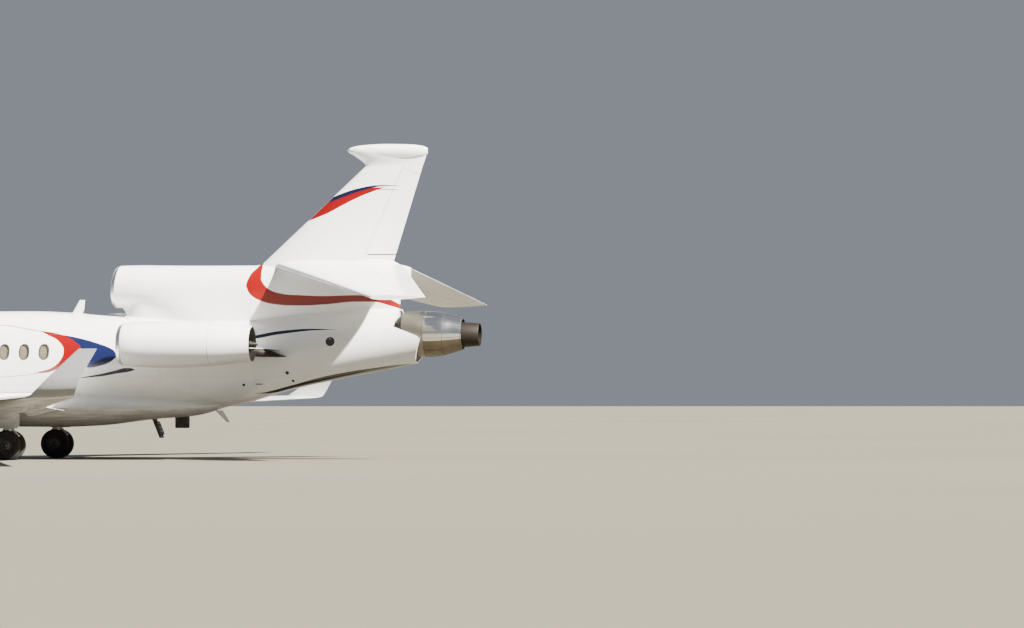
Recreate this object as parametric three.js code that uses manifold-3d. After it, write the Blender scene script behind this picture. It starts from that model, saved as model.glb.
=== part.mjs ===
// A long-range business jet with three engines, parked on its landing gear.
// Millimetres. x runs aft from the nose as a station, y to starboard, z up from the ground;
// the exported group is then moved so that its origin is on the ground under the middle of the length.
import * as THREE from "three";
import { mergeVertices } from "three/addons/utils/BufferGeometryUtils.js";
import Module from "manifold-3d";

const wasm = await Module();
wasm.setup();

// Driving dimensions
const LENGTH = 23380;
const HEIGHT = 7930;

const RING = 20; // points round a fuselage section
const SMALL_RING = 16; // points round a smaller one
const SEAT = 0.3; // gap left between two pieces that rest on each other
const PLAY = 8; // gap round a control surface
const PIN = 9; // hinge pins of the control surfaces
const PIN_REACH = 40;
const PIN_SIDES = 6;
const RUNNING = 0.5; // gap between a pin and its bore
const WALL = 85; // cabin wall, outer skin to inner trim
const REAR_WALL = 40;

const RADOME_END = 1200;
const FRONT_END = 3350;
const ENTRY_END = 5400;
const CABIN_END = 13300;
const BULKHEAD = 100;
const CABIN_CENTRE = 2480;

// Fuselage skin: station, top, bottom, half width, height of the widest point
const SKIN = [
  [0, 1950, 1910, 20, 1930],
  [110, 2068, 1800, 150, 1930],
  [400, 2225, 1650, 335, 1925],
  [800, 2375, 1555, 510, 1950],
  [RADOME_END, 2500, 1480, 665, 1985],
  [1700, 2650, 1410, 830, 2050],
  [2150, 2950, 1350, 965, 2150],
  [2700, 3330, 1290, 1090, 2260],
  [FRONT_END, 3620, 1235, 1200, 2380],
  [4000, 3725, 1212, 1255, 2450],
  [4700, 3755, 1205, 1270, CABIN_CENTRE],
  [ENTRY_END, 3758, 1205, 1275, CABIN_CENTRE],
  [11800, 3758, 1205, 1275, CABIN_CENTRE],
  [CABIN_END, 3690, 1205, 1255, 2470],
  [14500, 3600, 1205, 1190, 2440],
  [16000, 3500, 1215, 1070, 2400],
  [17350, 3480, 1420, 945, 2480],
  [18600, 3620, 1770, 830, 2700],
  [20060, 3740, 2080, 735, 2920],
  [21400, 3790, 2335, 665, 3070],
  [22000, 3790, 2460, 640, 3130],
];

// Wing-to-body fairing, in the same columns
const FAIRING = [
  [6900, 1420, 1190, 420, 1300],
  [7500, 1650, 1060, 860, 1380],
  [8300, 1760, 900, 1210, 1350],
  [9500, 1790, 820, 1380, 1330],
  [12600, 1790, 815, 1380, 1330],
  [13600, 1740, 850, 1280, 1330],
  [15000, 1640, 1010, 1010, 1340],
  [16200, 1500, 1100, 660, 1320],
  [16950, 1420, 1250, 380, 1340],
];

// Wing: span, leading edge, trailing edge, height, thickness over chord
const WING = [
  [900, 7840, 13030, 1215, 0.118],
  [4600, 10450, 13450, 1330, 0.105],
  [9000, 13130, 15100, 1460, 0.1],
  [12600, 15330, 16450, 1570, 0.1],
];
// Winglet: the same columns, then the lean of the blade from level in degrees
const WINGLET = [
  [12600 + SEAT, 15330, 16450, 1570, 0.1, 0],
  [12820, 15480, 16520, 1600, 0.1, 25],
  [12985, 15680, 16600, 1740, 0.1, 58],
  [13050, 15960, 16720, 1990, 0.095, 78],
  [13090, 16690, 17110, 2640, 0.09, 85],
];

// Tailplane half, in the wing's columns
const TAILPLANE = [
  [150, 18175, 21436, 4874, 0.095],
  [4215, 21450, 22810, 3970, 0.085],
];
// Fin above its base: height, leading edge, trailing edge, offset, thickness over chord
const FIN = [
  [4600, 17470, 21250, 0, 0.115],
  [7520, 20450, 21960, 0, 0.105],
];
// Fin base, which also houses the centre duct: station, top, bottom, half width, widest height
const FIN_BASE = [
  [17600, 4890, 3000, 360, 4300],
  [18250, 4960, 3000, 272, 4400],
  [20600, 5060, 3000, 272, 4400],
  [21150, 5075, 3000, 215, 4400],
  [21330, 5080, 3000, 110, 4400],
];

// Hinged surfaces: span from, span to, hinge line there and there
const FLAP_INBOARD = { from: 1640, to: 4440, hingeFrom: 12130, hingeTo: 12700 };
const FLAP_OUTBOARD = { from: 4660, to: 8960, hingeFrom: 12800, hingeTo: 14590 };
const AILERON = { from: 9140, to: 12240, hingeFrom: 14650, hingeTo: 15985 };
const ELEVATOR = { from: 640, to: 4090, hingeFrom: 20660, hingeTo: 22310 };
const RUDDER = { from: 5180, to: 7330, hingeFrom: 20480, hingeTo: 21430, floor: 5170, bayFloor: 5140 };

// Side engines
const NACELLE = { lip: 14620, end: 18000, side: 1950, height: 2880 };
const BLADES = 12;
const DUCT_RADIUS = 425;
const FAN = { sides: 16, shaft: 60, shaftEnd: 15520, blade: 286, chord: 150 };
const CENTRE_AXIS = 3155;

// Cabin windows
const WINDOW = { last: 12460, pitch: 515, count: 14, height: 2712, width: 250, tall: 380 };

// Passenger door in the port wall
const DOOR = { from: 3620, to: 4440, sill: 1590, top: 3310, hinge: -945, pin: 8, open: 133 };

// Landing gear
const NOSE_GEAR = { station: 3250, tyre: 222, width: 140, spacing: 150, axle: 32 };
const MAIN_GEAR = { station: 11830, side: 2200, tyre: 372, width: 205, spacing: 215, axle: 45 };

// Open access hatch under the rear of the fairing
const HATCH = {
  from: 14980, to: 15560, half: 230, roof: 1150, hang: 68, pin: 8, pinStation: 15014, pinHeight: 1040,
};

// Turns a closed geometry into a solid that can be cut and joined.
function solid(geometry) {
  const bare = new THREE.BufferGeometry().setAttribute("position", geometry.getAttribute("position"));
  if (geometry.index) bare.setIndex(geometry.index);
  const merged = mergeVertices(bare, 1e-3);
  const corners = merged.index.array;
  const points = merged.attributes.position.array;
  const triVerts = new Uint32Array(corners);
  if (signedVolume(points, corners) < 0) {
    for (let i = 0; i < triVerts.length; i += 3) {
      triVerts[i] = corners[i + 1];
      triVerts[i + 1] = corners[i];
    }
  }
  return new wasm.Manifold(new wasm.Mesh({ numProp: 3, vertProperties: points, triVerts }));
}

function signedVolume(points, corners) {
  const [a, b, c] = [new THREE.Vector3(), new THREE.Vector3(), new THREE.Vector3()];
  let volume = 0;
  for (let i = 0; i < corners.length; i += 3) {
    a.fromArray(points, corners[i] * 3);
    b.fromArray(points, corners[i + 1] * 3);
    c.fromArray(points, corners[i + 2] * 3);
    volume += a.dot(b.cross(c)) / 6;
  }
  return volume;
}

function geometryOf(body) {
  const mesh = body.getMesh();
  const geometry = new THREE.BufferGeometry();
  geometry.setAttribute("position", new THREE.BufferAttribute(new Float32Array(mesh.vertProperties), 3));
  geometry.setIndex(new THREE.BufferAttribute(new Uint32Array(mesh.triVerts), 1));
  return geometry;
}

// Joins rings of points, all convex and with the same count, into one closed solid.
function loft(rings) {
  const count = rings[0].length;
  const points = rings.flat().flatMap((p) => [p.x, p.y, p.z]);
  const index = [];
  for (let r = 0; r + 1 < rings.length; r++) {
    for (let i = 0; i < count; i++) {
      const here = r * count + i;
      const next = r * count + ((i + 1) % count);
      index.push(here, next, next + count, here, next + count, here + count);
    }
  }
  const last = (rings.length - 1) * count;
  for (let i = 1; i + 1 < count; i++) {
    index.push(0, i + 1, i);
    index.push(last, last + i, last + i + 1);
  }
  const geometry = new THREE.BufferGeometry();
  geometry.setAttribute("position", new THREE.Float32BufferAttribute(points, 3));
  geometry.setIndex(index);
  return solid(geometry);
}

function box(x0, x1, y0, y1, z0, z1) {
  const geometry = new THREE.BoxGeometry(x1 - x0, y1 - y0, z1 - z0);
  geometry.translate((x0 + x1) / 2, (y0 + y1) / 2, (z0 + z1) / 2);
  return solid(geometry);
}

// A rod between two points, with a radius at each end.
function rod(from, to, radiusFrom, radiusTo = radiusFrom, sides = 10) {
  const way = new THREE.Vector3().subVectors(to, from);
  const geometry = new THREE.CylinderGeometry(radiusTo, radiusFrom, way.length(), sides);
  const turn = new THREE.Quaternion().setFromUnitVectors(new THREE.Vector3(0, 1, 0), way.clone().normalize());
  geometry.applyQuaternion(turn);
  geometry.translate((from.x + to.x) / 2, (from.y + to.y) / 2, (from.z + to.z) / 2);
  return solid(geometry);
}

const at = (x, y, z) => new THREE.Vector3(x, y, z);

// Turns a closed profile of [station, radius] pairs about a line parallel to x.
function turned(profile, y, z, sides = 22) {
  const outline = profile.map(([station, radius]) => new THREE.Vector2(radius, station));
  const closed = profile[0][1] > 0 ? [...outline, outline[0]] : outline;
  const geometry = new THREE.LatheGeometry(closed, sides);
  geometry.rotateZ(-Math.PI / 2);
  geometry.translate(0, y, z);
  return solid(geometry);
}

// Extrudes an outline given in x and z across the aircraft, from y0 to y1.
function acrossPlate(outline, y0, y1) {
  const shape = new THREE.Shape(outline.map(([x, z]) => new THREE.Vector2(x, z)));
  const geometry = new THREE.ExtrudeGeometry(shape, { depth: y1 - y0, bevelEnabled: false });
  geometry.rotateX(Math.PI / 2);
  geometry.translate(0, y1, 0);
  return solid(geometry);
}

// Extrudes an outline given in x and y upwards, from z0 to z1.
function upPlate(outline, z0, z1) {
  const shape = new THREE.Shape(outline.map(([x, y]) => new THREE.Vector2(x, y)));
  const geometry = new THREE.ExtrudeGeometry(shape, { depth: z1 - z0, bevelEnabled: false });
  geometry.translate(0, 0, z0);
  return solid(geometry);
}

// A body section at one station: half ellipses above and below its widest point.
function bodyRing([station, top, bottom, half, widest], grow, count = RING) {
  const ring = [];
  for (let i = 0; i < count; i++) {
    const angle = (i / count) * 2 * Math.PI;
    const rise = Math.sin(angle) > 0 ? top - widest + grow : widest - bottom + grow;
    ring.push(at(station, (half + grow) * Math.cos(angle), widest + rise * Math.sin(angle)));
  }
  return ring;
}

function between(table, station) {
  const above = table.findIndex((row) => row[0] >= station);
  const next = Math.max(above, 1);
  const [a, b] = [table[next - 1], table[next]];
  const share = (station - a[0]) / (b[0] - a[0]);
  return a.map((value, i) => value + (b[i] - value) * share);
}

function bodyLoft(table, from, to, grow = 0, count = RING) {
  const rows = table.filter((row) => row[0] > from + 1 && row[0] < to - 1);
  const all = [between(table, from), ...rows, between(table, to)];
  return loft(all.map((row) => bodyRing(row, grow, count)));
}

// Half thickness of a symmetric aerofoil at a share of its chord
function halfThickness(share, chord, ratio) {
  const root = 0.2969 * Math.sqrt(share);
  const rest = -0.126 * share - 0.3516 * share ** 2 + 0.2843 * share ** 3 - 0.1015 * share ** 4;
  return 5 * ratio * chord * (root + rest);
}

const CHORD_SHARES = [0, 0.015, 0.07, 0.2, 0.4, 0.62, 0.82, 1];

// An aerofoil section whose thickness stands across a blade that leans up by lean degrees.
function aerofoilRing([span, nose, tail, height, ratio, lean = 0], grow) {
  const [sin, cos] = [Math.sin((lean * Math.PI) / 180), Math.cos((lean * Math.PI) / 180)];
  const chord = tail - nose;
  const point = (share, side) => {
    const off = side * (halfThickness(share, chord, ratio) + grow);
    const along = nose - grow + share * (chord + 2 * grow);
    return at(along, span - off * sin, height + off * cos);
  };
  const upper = CHORD_SHARES.map((share) => point(share, 1));
  const lower = CHORD_SHARES.slice(1).reverse();
  return [...upper, ...lower.map((share) => point(share, -1))];
}

const bladeLoft = (table, grow = 0) => loft(table.map((row) => aerofoilRing(row, grow)));

// Where a surface's hinge line crosses a span, and half the blade's thickness there
function hingeAt(table, span, station) {
  const [, nose, tail, height, ratio] = between(table, span);
  const radius = halfThickness((station - nose) / (tail - nose), tail - nose, ratio);
  return { point: at(station, span, height), radius };
}

function hingeEnds(table, { from, to, hingeFrom, hingeTo }) {
  return [hingeAt(table, from, hingeFrom), hingeAt(table, to, hingeTo)];
}

// Everything behind a hinge line, with square ends; front is the distance ahead of the line at each end
function behindHinge([a, b], play, frontA, frontB) {
  const along = b.point.clone().sub(a.point);
  const long = along.length();
  along.normalize();
  const aft = at(1, 0, 0).addScaledVector(along, -along.x).normalize();
  const reach = 1500;
  const corners = [[-play, -frontA], [long + play, -frontB], [long + play, reach], [-play, reach]];
  const shape = new THREE.Shape(corners.map(([u, v]) => new THREE.Vector2(u, v)));
  const geometry = new THREE.ExtrudeGeometry(shape, { depth: 2 * reach, bevelEnabled: false });
  geometry.translate(0, 0, -reach);
  geometry.applyMatrix4(new THREE.Matrix4().makeBasis(along, aft, along.clone().cross(aft)));
  geometry.translate(...a.point.toArray());
  return solid(geometry);
}

// Two pins on the hinge line, from the fixed blade into each end of the surface
function hingePins([a, b], radius, reach) {
  const along = b.point.clone().sub(a.point).normalize();
  const near = (end, way) => [
    end.point.clone().addScaledVector(along, -way * (PLAY + 20)),
    end.point.clone().addScaledVector(along, way * reach),
  ];
  const pin = (end, way) => rod(...near(end, way), radius, radius, PIN_SIDES);
  return pin(a, 1).add(pin(b, -1));
}

// The tail of a blade behind its hinge line, with a round nose on that line
function hingedSurface(blade, table, surface) {
  const [a, b] = hingeEnds(table, surface);
  const nose = rod(a.point, b.point, a.radius, b.radius, 12);
  const body = blade.intersect(behindHinge([a, b], 0, 0, 0)).add(nose);
  return body.subtract(hingePins([a, b], boreRadius(PIN, Math.PI / PIN_SIDES), PIN_REACH + RUNNING));
}

// A blade with the room for a hinged surface cut out, and the pins that carry it
function cutForSurface(blade, table, surface) {
  const pins = hingePins(hingeEnds(table, surface), PIN, PIN_REACH);
  return blade.subtract(surfaceBay(table, surface)).add(pins);
}

// The room that a hinged surface needs in its blade
function surfaceBay(table, surface) {
  const [a, b] = hingeEnds(table, surface);
  return behindHinge([a, b], PLAY, a.radius + PLAY, b.radius + PLAY);
}

// Paint and materials
const paint = (colour, roughness, metalness) =>
  new THREE.MeshStandardMaterial({ color: colour, roughness, metalness });
const WHITE = paint(0xf2f1ec, 0.25, 0);
const METAL = paint(0xb9bcc0, 0.3, 1);
const BURNT = paint(0x3b3630, 0.5, 1);
const RUBBER = paint(0x1b1a19, 0.85, 0);
const GEAR = paint(0xa9abac, 0.45, 0.4);
const GLASS = paint(0x23282c, 0.1, 0);
const LEATHER = paint(0xcbbda4, 0.6, 0);
const DARK = paint(0x2a2a2c, 0.6, 0);

const aircraft = new THREE.Group();
aircraft.position.x = -LENGTH / 2;

function add(name, body, material, side = 1) {
  const mesh = new THREE.Mesh(geometryOf(body), material);
  mesh.name = name;
  mesh.scale.y = side;
  aircraft.add(mesh);
  return mesh;
}

// Pieces are drawn for starboard; the port one is its mirror image.
function addPair(name, body, material) {
  add(name + "_starboard", body, material);
  add(name + "_port", body, material, -1);
}

const skinOuter = bodyLoft(SKIN, 0, 22000, SEAT);

function windowCutter(station, height, width, tall) {
  const shape = new THREE.Shape().absellipse(station, height, width / 2, tall / 2, 0, 2 * Math.PI);
  const outline = shape.getPoints(4).slice(0, -1).map((p) => [p.x, p.y]);
  return acrossPlate(outline, -2000, 2000);
}

// Windscreen panes, as outlines seen from the side and from the front
const SIDE_PANES = [
  [[2230, 2700], [2790, 2760], [2790, 3170], [2560, 3130]],
  [[2870, 2770], [3270, 2860], [3240, 3160], [2870, 3180]],
];
const FRONT_PANE = {
  inner: 35, outerLow: 690, outerHigh: 520, low: 2700, high: 3190, from: 1600, to: 2560,
};

function paneCutters() {
  const sides = SIDE_PANES.map((outline) => acrossPlate(outline, -2000, 2000));
  const { inner, outerLow, outerHigh, low, high, from, to } = FRONT_PANE;
  const fronts = [1, -1].map((side) => {
    const corners = [[inner, low], [outerLow, low], [outerHigh, high], [inner, high]];
    const shape = new THREE.Shape(corners.map(([y, z]) => new THREE.Vector2(side * y, z)));
    const geometry = new THREE.ExtrudeGeometry(shape, { depth: to - from, bevelEnabled: false });
    geometry.applyMatrix4(new THREE.Matrix4().set(0, 0, 1, from, 1, 0, 0, 0, 0, 1, 0, 0, 0, 0, 0, 1));
    return solid(geometry);
  });
  return [...sides, ...fronts];
}

// Glazing: one thin layer inside the wall, seen through the panes
function glazing() {
  const outer = bodyLoft(SKIN, 1500, 3349, -WALL - SEAT);
  const layer = outer.subtract(bodyLoft(SKIN, 1400, 3400, -WALL - 20));
  return layer.intersect(box(1640, 3330, -1300, 1300, 2630, 3290));
}

function nose() {
  add("radome", bodyLoft(SKIN, 0, RADOME_END - SEAT), WHITE);
  const bay = { from: 2350, to: 3760, half: 270, roof: 1620 };
  const bayHole = box(bay.from, bay.to, -bay.half, bay.half, 900, bay.roof);
  let front = bodyLoft(SKIN, RADOME_END, FRONT_END - SEAT);
  front = front.subtract(bodyLoft(SKIN, 1480, FRONT_END + 100, -WALL));
  for (const cutter of paneCutters()) front = front.subtract(cutter);
  front = front.subtract(bayHole);
  add("front_fuselage", front, WHITE);
  add("windshield", glazing(), GLASS);

  // Box of the nose gear bay, with its two doors hanging open
  const wall = 18;
  const outside = box(
    bay.from + SEAT, bay.to - SEAT, -bay.half + SEAT, bay.half - SEAT, 1262, bay.roof - SEAT);
  const inside = box(
    bay.from + wall, bay.to - wall, -bay.half + wall, bay.half - wall, 900, bay.roof - wall);
  let bayBox = outside.subtract(inside);
  for (const side of [1, -1]) {
    const y = side * (bay.half - wall / 2);
    bayBox = bayBox.add(box(bay.from + 60, bay.to - 60, y - 9, y + 9, 960, 1300));
  }
  add("nose_bay", bayBox, WHITE);
}

function doorSolid(shrink) {
  return box(DOOR.from + shrink, DOOR.to - shrink, -2000, -500, DOOR.sill + shrink, DOOR.top - shrink);
}

function cabin() {
  const cavity = bodyLoft(SKIN, 1480, CABIN_END + 200, -WALL);
  const bay = box(2300, 3760 + SEAT, -270, 270, 900, 1620);
  let entry = bodyLoft(SKIN, FRONT_END, ENTRY_END - SEAT).subtract(cavity);
  entry = entry.subtract(doorSolid(0)).subtract(bay);
  for (const [end, way] of [[DOOR.from, -1], [DOOR.to, 1]]) {
    const [near, far] = [end + way * 4, end + way * 60].sort((a, b) => a - b);
    entry = entry.add(box(near, far, DOOR.hinge - 14, -880, DOOR.sill - 14, DOOR.sill + 50));
    const pinEnds = [end + way * 30, end - way * 60].map((x) => at(x, DOOR.hinge, DOOR.sill));
    entry = entry.add(rod(...pinEnds, DOOR.pin));
  }
  add("entry_section", entry, WHITE);

  let tube = bodyLoft(SKIN, ENTRY_END, CABIN_END - SEAT).subtract(cavity);
  for (let i = 0; i < WINDOW.count; i++) {
    const station = WINDOW.last - i * WINDOW.pitch;
    tube = tube.subtract(windowCutter(station, WINDOW.height, WINDOW.width, WINDOW.tall));
  }
  add("cabin_section", tube, WHITE);

  const inside = bodyLoft(SKIN, 1500, CABIN_END, -WALL - SEAT);
  const floorTop = 1700;
  let floor = box(1900, CABIN_END - 2, -1300, 1300, floorTop - 60, floorTop).intersect(inside);
  floor = floor.subtract(box(DOOR.from - 60, DOOR.to + 60, -1300, -730, 1500, 1800));
  add("cabin_floor", floor, DARK);
  interior(inside, floorTop + SEAT);
  passengerDoor(cavity);
}

// Seats and instrument panel stand on the floor and reach the wall.
function interior(inside, floor) {
  const panel = box(1950, 2230, -1100, 1100, floor, 2560).add(box(2230, 2900, -190, 190, floor, 2280));
  add("instrument_panel", panel.intersect(inside), DARK);
  const crewSeat = box(2960, 3420, 280, 720, floor, 2120).add(box(3330, 3480, 280, 720, 2110, 2860));
  addPair("crew_seat", crewSeat, LEATHER);
  let row = box(5700, 12900, 720, 1300, floor, 2130);
  for (let i = 0; i < 6; i++) {
    const station = 6100 + i * 1150;
    const back = i % 2 ? station : station - 130;
    row = row.add(box(station - 260, station + 260, 330, 900, floor, 2160));
    row = row.add(box(back, back + 150, 330, 900, 2150, 2850));
  }
  addPair("cabin_seats", row.intersect(inside), LEATHER);
}

// The door's skin with two side frames and the steps between them
function passengerDoor(cavity) {
  const skin = bodyLoft(SKIN, FRONT_END, ENTRY_END).subtract(cavity).intersect(doorSolid(6));
  const lean = (DOOR.open * Math.PI) / 180;
  const stepIn = at(0, -Math.cos(lean), Math.sin(lean));
  const frameInner = -790;
  const doorBore = boreRadius(DOOR.pin, Math.PI / 10);
  let door = skin;
  const inSkin = bodyLoft(SKIN, FRONT_END, ENTRY_END, -WALL + 20);
  for (const x of [DOOR.from + 10, DOOR.to - 50]) {
    const frame = box(x, x + 40, -1300, frameInner, DOOR.sill + 10, DOOR.top - 10);
    door = door.add(frame.intersect(inSkin));
  }
  for (let i = 0; i < 5; i++) {
    const z = DOOR.sill + 120 + i * 310;
    const tread = new THREE.BoxGeometry(DOOR.to - DOOR.from - 40, 230, 30);
    tread.rotateX(Math.atan2(stepIn.z, stepIn.y));
    tread.translate((DOOR.from + DOOR.to) / 2, frameInner - 60, z + 60);
    door = door.add(solid(tread).intersect(inSkin));
  }
  for (const x of [DOOR.from + 8, DOOR.to - 68]) {
    const knuckle = rod(at(x, DOOR.hinge, DOOR.sill), at(x + 60, DOOR.hinge, DOOR.sill), 15);
    const arm = box(x, x + 60, DOOR.hinge - 8, -905, DOOR.sill + 5, DOOR.sill + 42);
    const bore = rod(at(x - 5, DOOR.hinge, DOOR.sill), at(x + 65, DOOR.hinge, DOOR.sill), doorBore);
    door = door.add(knuckle).add(arm).subtract(bore);
  }
  add("passenger_door", door, WHITE);
}

function rear() {
  const end = LENGTH;
  let shell = bodyLoft(SKIN, CABIN_END, 22000);
  shell = shell.subtract(bodyLoft(SKIN, CABIN_END + BULKHEAD, 22000, -REAR_WALL));
  shell = shell.subtract(box(21990, 22100, -900, 900, 2000, 4000));
  // The upper skin stops short of the nozzle, and the lower one ends on a slant.
  const upper = [
    [21430, 4000], [21380, 3780], [21290, 3330], [21870, 3110], [22000, 2990], [end, 2990], [end, 4000],
  ];
  const lower = [[21975, 3050], [21760, 2400], [21700, 2100], [end, 2100], [end, 3050]];
  shell = shell.subtract(acrossPlate(upper, -900, 900)).subtract(acrossPlate(lower, -900, 900));
  add("rear_fuselage", shell, WHITE);

  const inside = bodyLoft(SKIN, CABIN_END + BULKHEAD + 10, 22000, -REAR_WALL - SEAT);
  const block = rod(at(19000, 0, CENTRE_AXIS), at(21420 - SEAT, 0, CENTRE_AXIS), 360, 360, 24);
  const beam = box(19600, 19900, -900, 900, CENTRE_AXIS - 60, CENTRE_AXIS + 60);
  add("centre_engine", block.add(beam.intersect(inside)), METAL);

  const barrel = [
    [21420, 0], [21420, 520], [21460, 560], [22050, 575], [22350, 555], [22700, 470], [22950, 395],
    [22955, 370], [22700, 430], [22350, 500], [21500, 500], [21500, 0],
  ];
  add("centre_nozzle", turned(barrel, 0, CENTRE_AXIS), METAL);
  const pipeStart = 21500 + SEAT;
  const pipe = [
    [pipeStart, 330], [22500, 330], [LENGTH, 285], [LENGTH, 265], [22500, 308], [pipeStart, 308],
  ];
  add("centre_exhaust", turned(pipe, 0, CENTRE_AXIS - 20, 20), BURNT);
}

function belly(wing) {
  let fairing = bodyLoft(FAIRING, 6900, 16950).subtract(skinOuter);
  const port = wing.mirror([0, 1, 0]);
  fairing = fairing.subtract(wing).subtract(port);
  fairing = fairing.subtract(box(HATCH.from, HATCH.to, -HATCH.half, HATCH.half, 700, HATCH.roof));
  add("belly_fairing", fairing, WHITE);

  // The hatch hangs open on a pin at the front edge of its hole.
  const { pin, pinStation, pinHeight } = HATCH;
  const long = HATCH.to - pinStation - 15;
  let hatch = box(20, long, 15 - HATCH.half, HATCH.half - 15, -28, -6);
  for (const y of [-100, 70]) {
    hatch = hatch.add(rod(at(0, y, 0), at(0, y + 30, 0), 15)).add(box(0, 40, y, y + 30, -20, -2));
  }
  hatch = hatch.subtract(rod(at(0, -130, 0), at(0, 130, 0), boreRadius(pin, Math.PI / 10)));
  add("belly_hatch", hatch.rotate([0, HATCH.hang, 0]).translate([pinStation, 0, pinHeight]), DARK);
  const lug = box(HATCH.from + 6, pinStation + 14, -60, 60, pinHeight - 14, HATCH.roof - SEAT);
  const hatchPin = rod(at(pinStation, -104, pinHeight), at(pinStation, 104, pinHeight), pin);
  add("hatch_hinge", lug.add(hatchPin), GEAR);
}

function wings() {
  const blade = bladeLoft(WING);
  const surfaces = { flap_inboard: FLAP_INBOARD, flap_outboard: FLAP_OUTBOARD, aileron: AILERON };
  let wing = blade;
  for (const [name, surface] of Object.entries(surfaces)) {
    wing = cutForSurface(wing, WING, surface);
    addPair(name, hingedSurface(blade, WING, surface), WHITE);
  }
  wing = wing.add(rod(at(10600, 2700, 1010), at(10600, 2700, 1200), 45)); // jacking pad
  wing = wing.subtract(skinOuter);
  addPair("wing", wing, WHITE);
  addPair("winglet", bladeLoft(WINGLET), WHITE);
  return bladeLoft(WING, SEAT);
}

function tail() {
  // The fin lies flat while it is made, and is then stood up.
  const stand = (body) => body.rotate([90, 0, 0]);
  const above = (height) => box(17000, LENGTH, -600, 600, height, HEIGHT + 100);
  const blade = bladeLoft(FIN);
  const finBase = (grow) => bodyLoft(FIN_BASE, 17600 + SEAT, 21330, grow, SMALL_RING);
  let fin = stand(blade).add(finBase(0)).subtract(box(17000, 17600 + SEAT, -600, 600, 4000, 5200));
  fin = fin.subtract(stand(surfaceBay(FIN, RUDDER)).intersect(above(RUDDER.bayFloor)));
  fin = fin.add(stand(hingePins(hingeEnds(FIN, RUDDER), PIN, PIN_REACH)));
  const carry = { from: 20400, to: 21000, half: 420, low: 4780, high: 4900 };
  const slot = [carry.from - SEAT, carry.to + SEAT, -600, 600, carry.low - SEAT, carry.high + SEAT];
  fin = fin.subtract(box(...slot));
  add("fin", fin.subtract(skinOuter), WHITE);
  add("rudder", stand(hingedSurface(blade, FIN, RUDDER)).intersect(above(RUDDER.floor)), WHITE);

  const bullet = [
    [19990, 7700, 7680, 10, 7690],
    [20080, 7800, 7590, 85, 7690],
    [20350, 7885, 7500, 150, 7690],
    [20900, HEIGHT, 7440, 175, 7690],
    [21500, HEIGHT, 7470, 150, 7700],
    [22040, 7915, 7560, 40, 7740],
  ];
  const bulletBody = bodyLoft(bullet, 19990, 22040, 0, 12);
  add("fin_bullet", bulletBody.subtract(stand(bladeLoft(FIN, SEAT))), WHITE);

  const half = bladeLoft(TAILPLANE);
  const finOutside = finBase(SEAT).add(stand(bladeLoft(FIN, SEAT)));
  const stub = cutForSurface(half, TAILPLANE, ELEVATOR).subtract(finOutside);
  addPair("tailplane", stub.add(box(carry.from, carry.to, SEAT, carry.half, carry.low, carry.high)), WHITE);
  addPair("elevator", hingedSurface(half, TAILPLANE, ELEVATOR), WHITE);
}

// Cowl of the centre intake: station, top, bottom, half width, widest height
const COWL = [
  [14010, 4855, 3890, 490, 4372],
  [14120, 4905, 3835, 540, 4370],
  [14700, 4915, 3810, 562, 4360],
  [15300, 4905, 3600, 556, 4330],
  [16200, 4895, 3200, 500, 4280],
  [17600, 4890, 3000, 360, 4300],
];
// Air duct down from the intake, in the same columns
const DUCT = [
  [13900, 4800, 3945, 432, 4372],
  [14200, 4790, 3955, 422, 4372],
  [14900, 4760, 3930, 420, 4345],
  [15900, 4660, 3840, 390, 4250],
  [16900, 4480, 3800, 300, 4140],
];

function centreIntake() {
  // The lip stands on a slant, with its lower edge further forward.
  const slant = (row) => {
    const lean = row[0] < 14200 ? 0.1 : 0;
    return bodyRing(row, 0, SMALL_RING).map((p) => at(p.x + (p.z - 4370) * lean, p.y, p.z));
  };
  let cowl = loft(COWL.map(slant));
  cowl = cowl.subtract(loft(DUCT.map((row) => bodyRing(row, 0, SMALL_RING))));
  const keel = acrossPlate([[14350, 3300], [15600, 3300], [15600, 3900], [14150, 3860]], -190, 190);
  cowl = cowl.add(keel);
  add("centre_intake", cowl.subtract(skinOuter), WHITE);
}

// Nacelle outline from lip to nozzle: distance behind the lip, radius
const NACELLE_OUTSIDE = [[0, 462], [30, 495], [120, 528], [450, 570], [1150, 585], [2100, 560], [3380, 432]];
const NACELLE_INSIDE = [[3375, 415], [1600, 450], [900, DUCT_RADIUS], [160, 408], [25, 432]];

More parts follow.
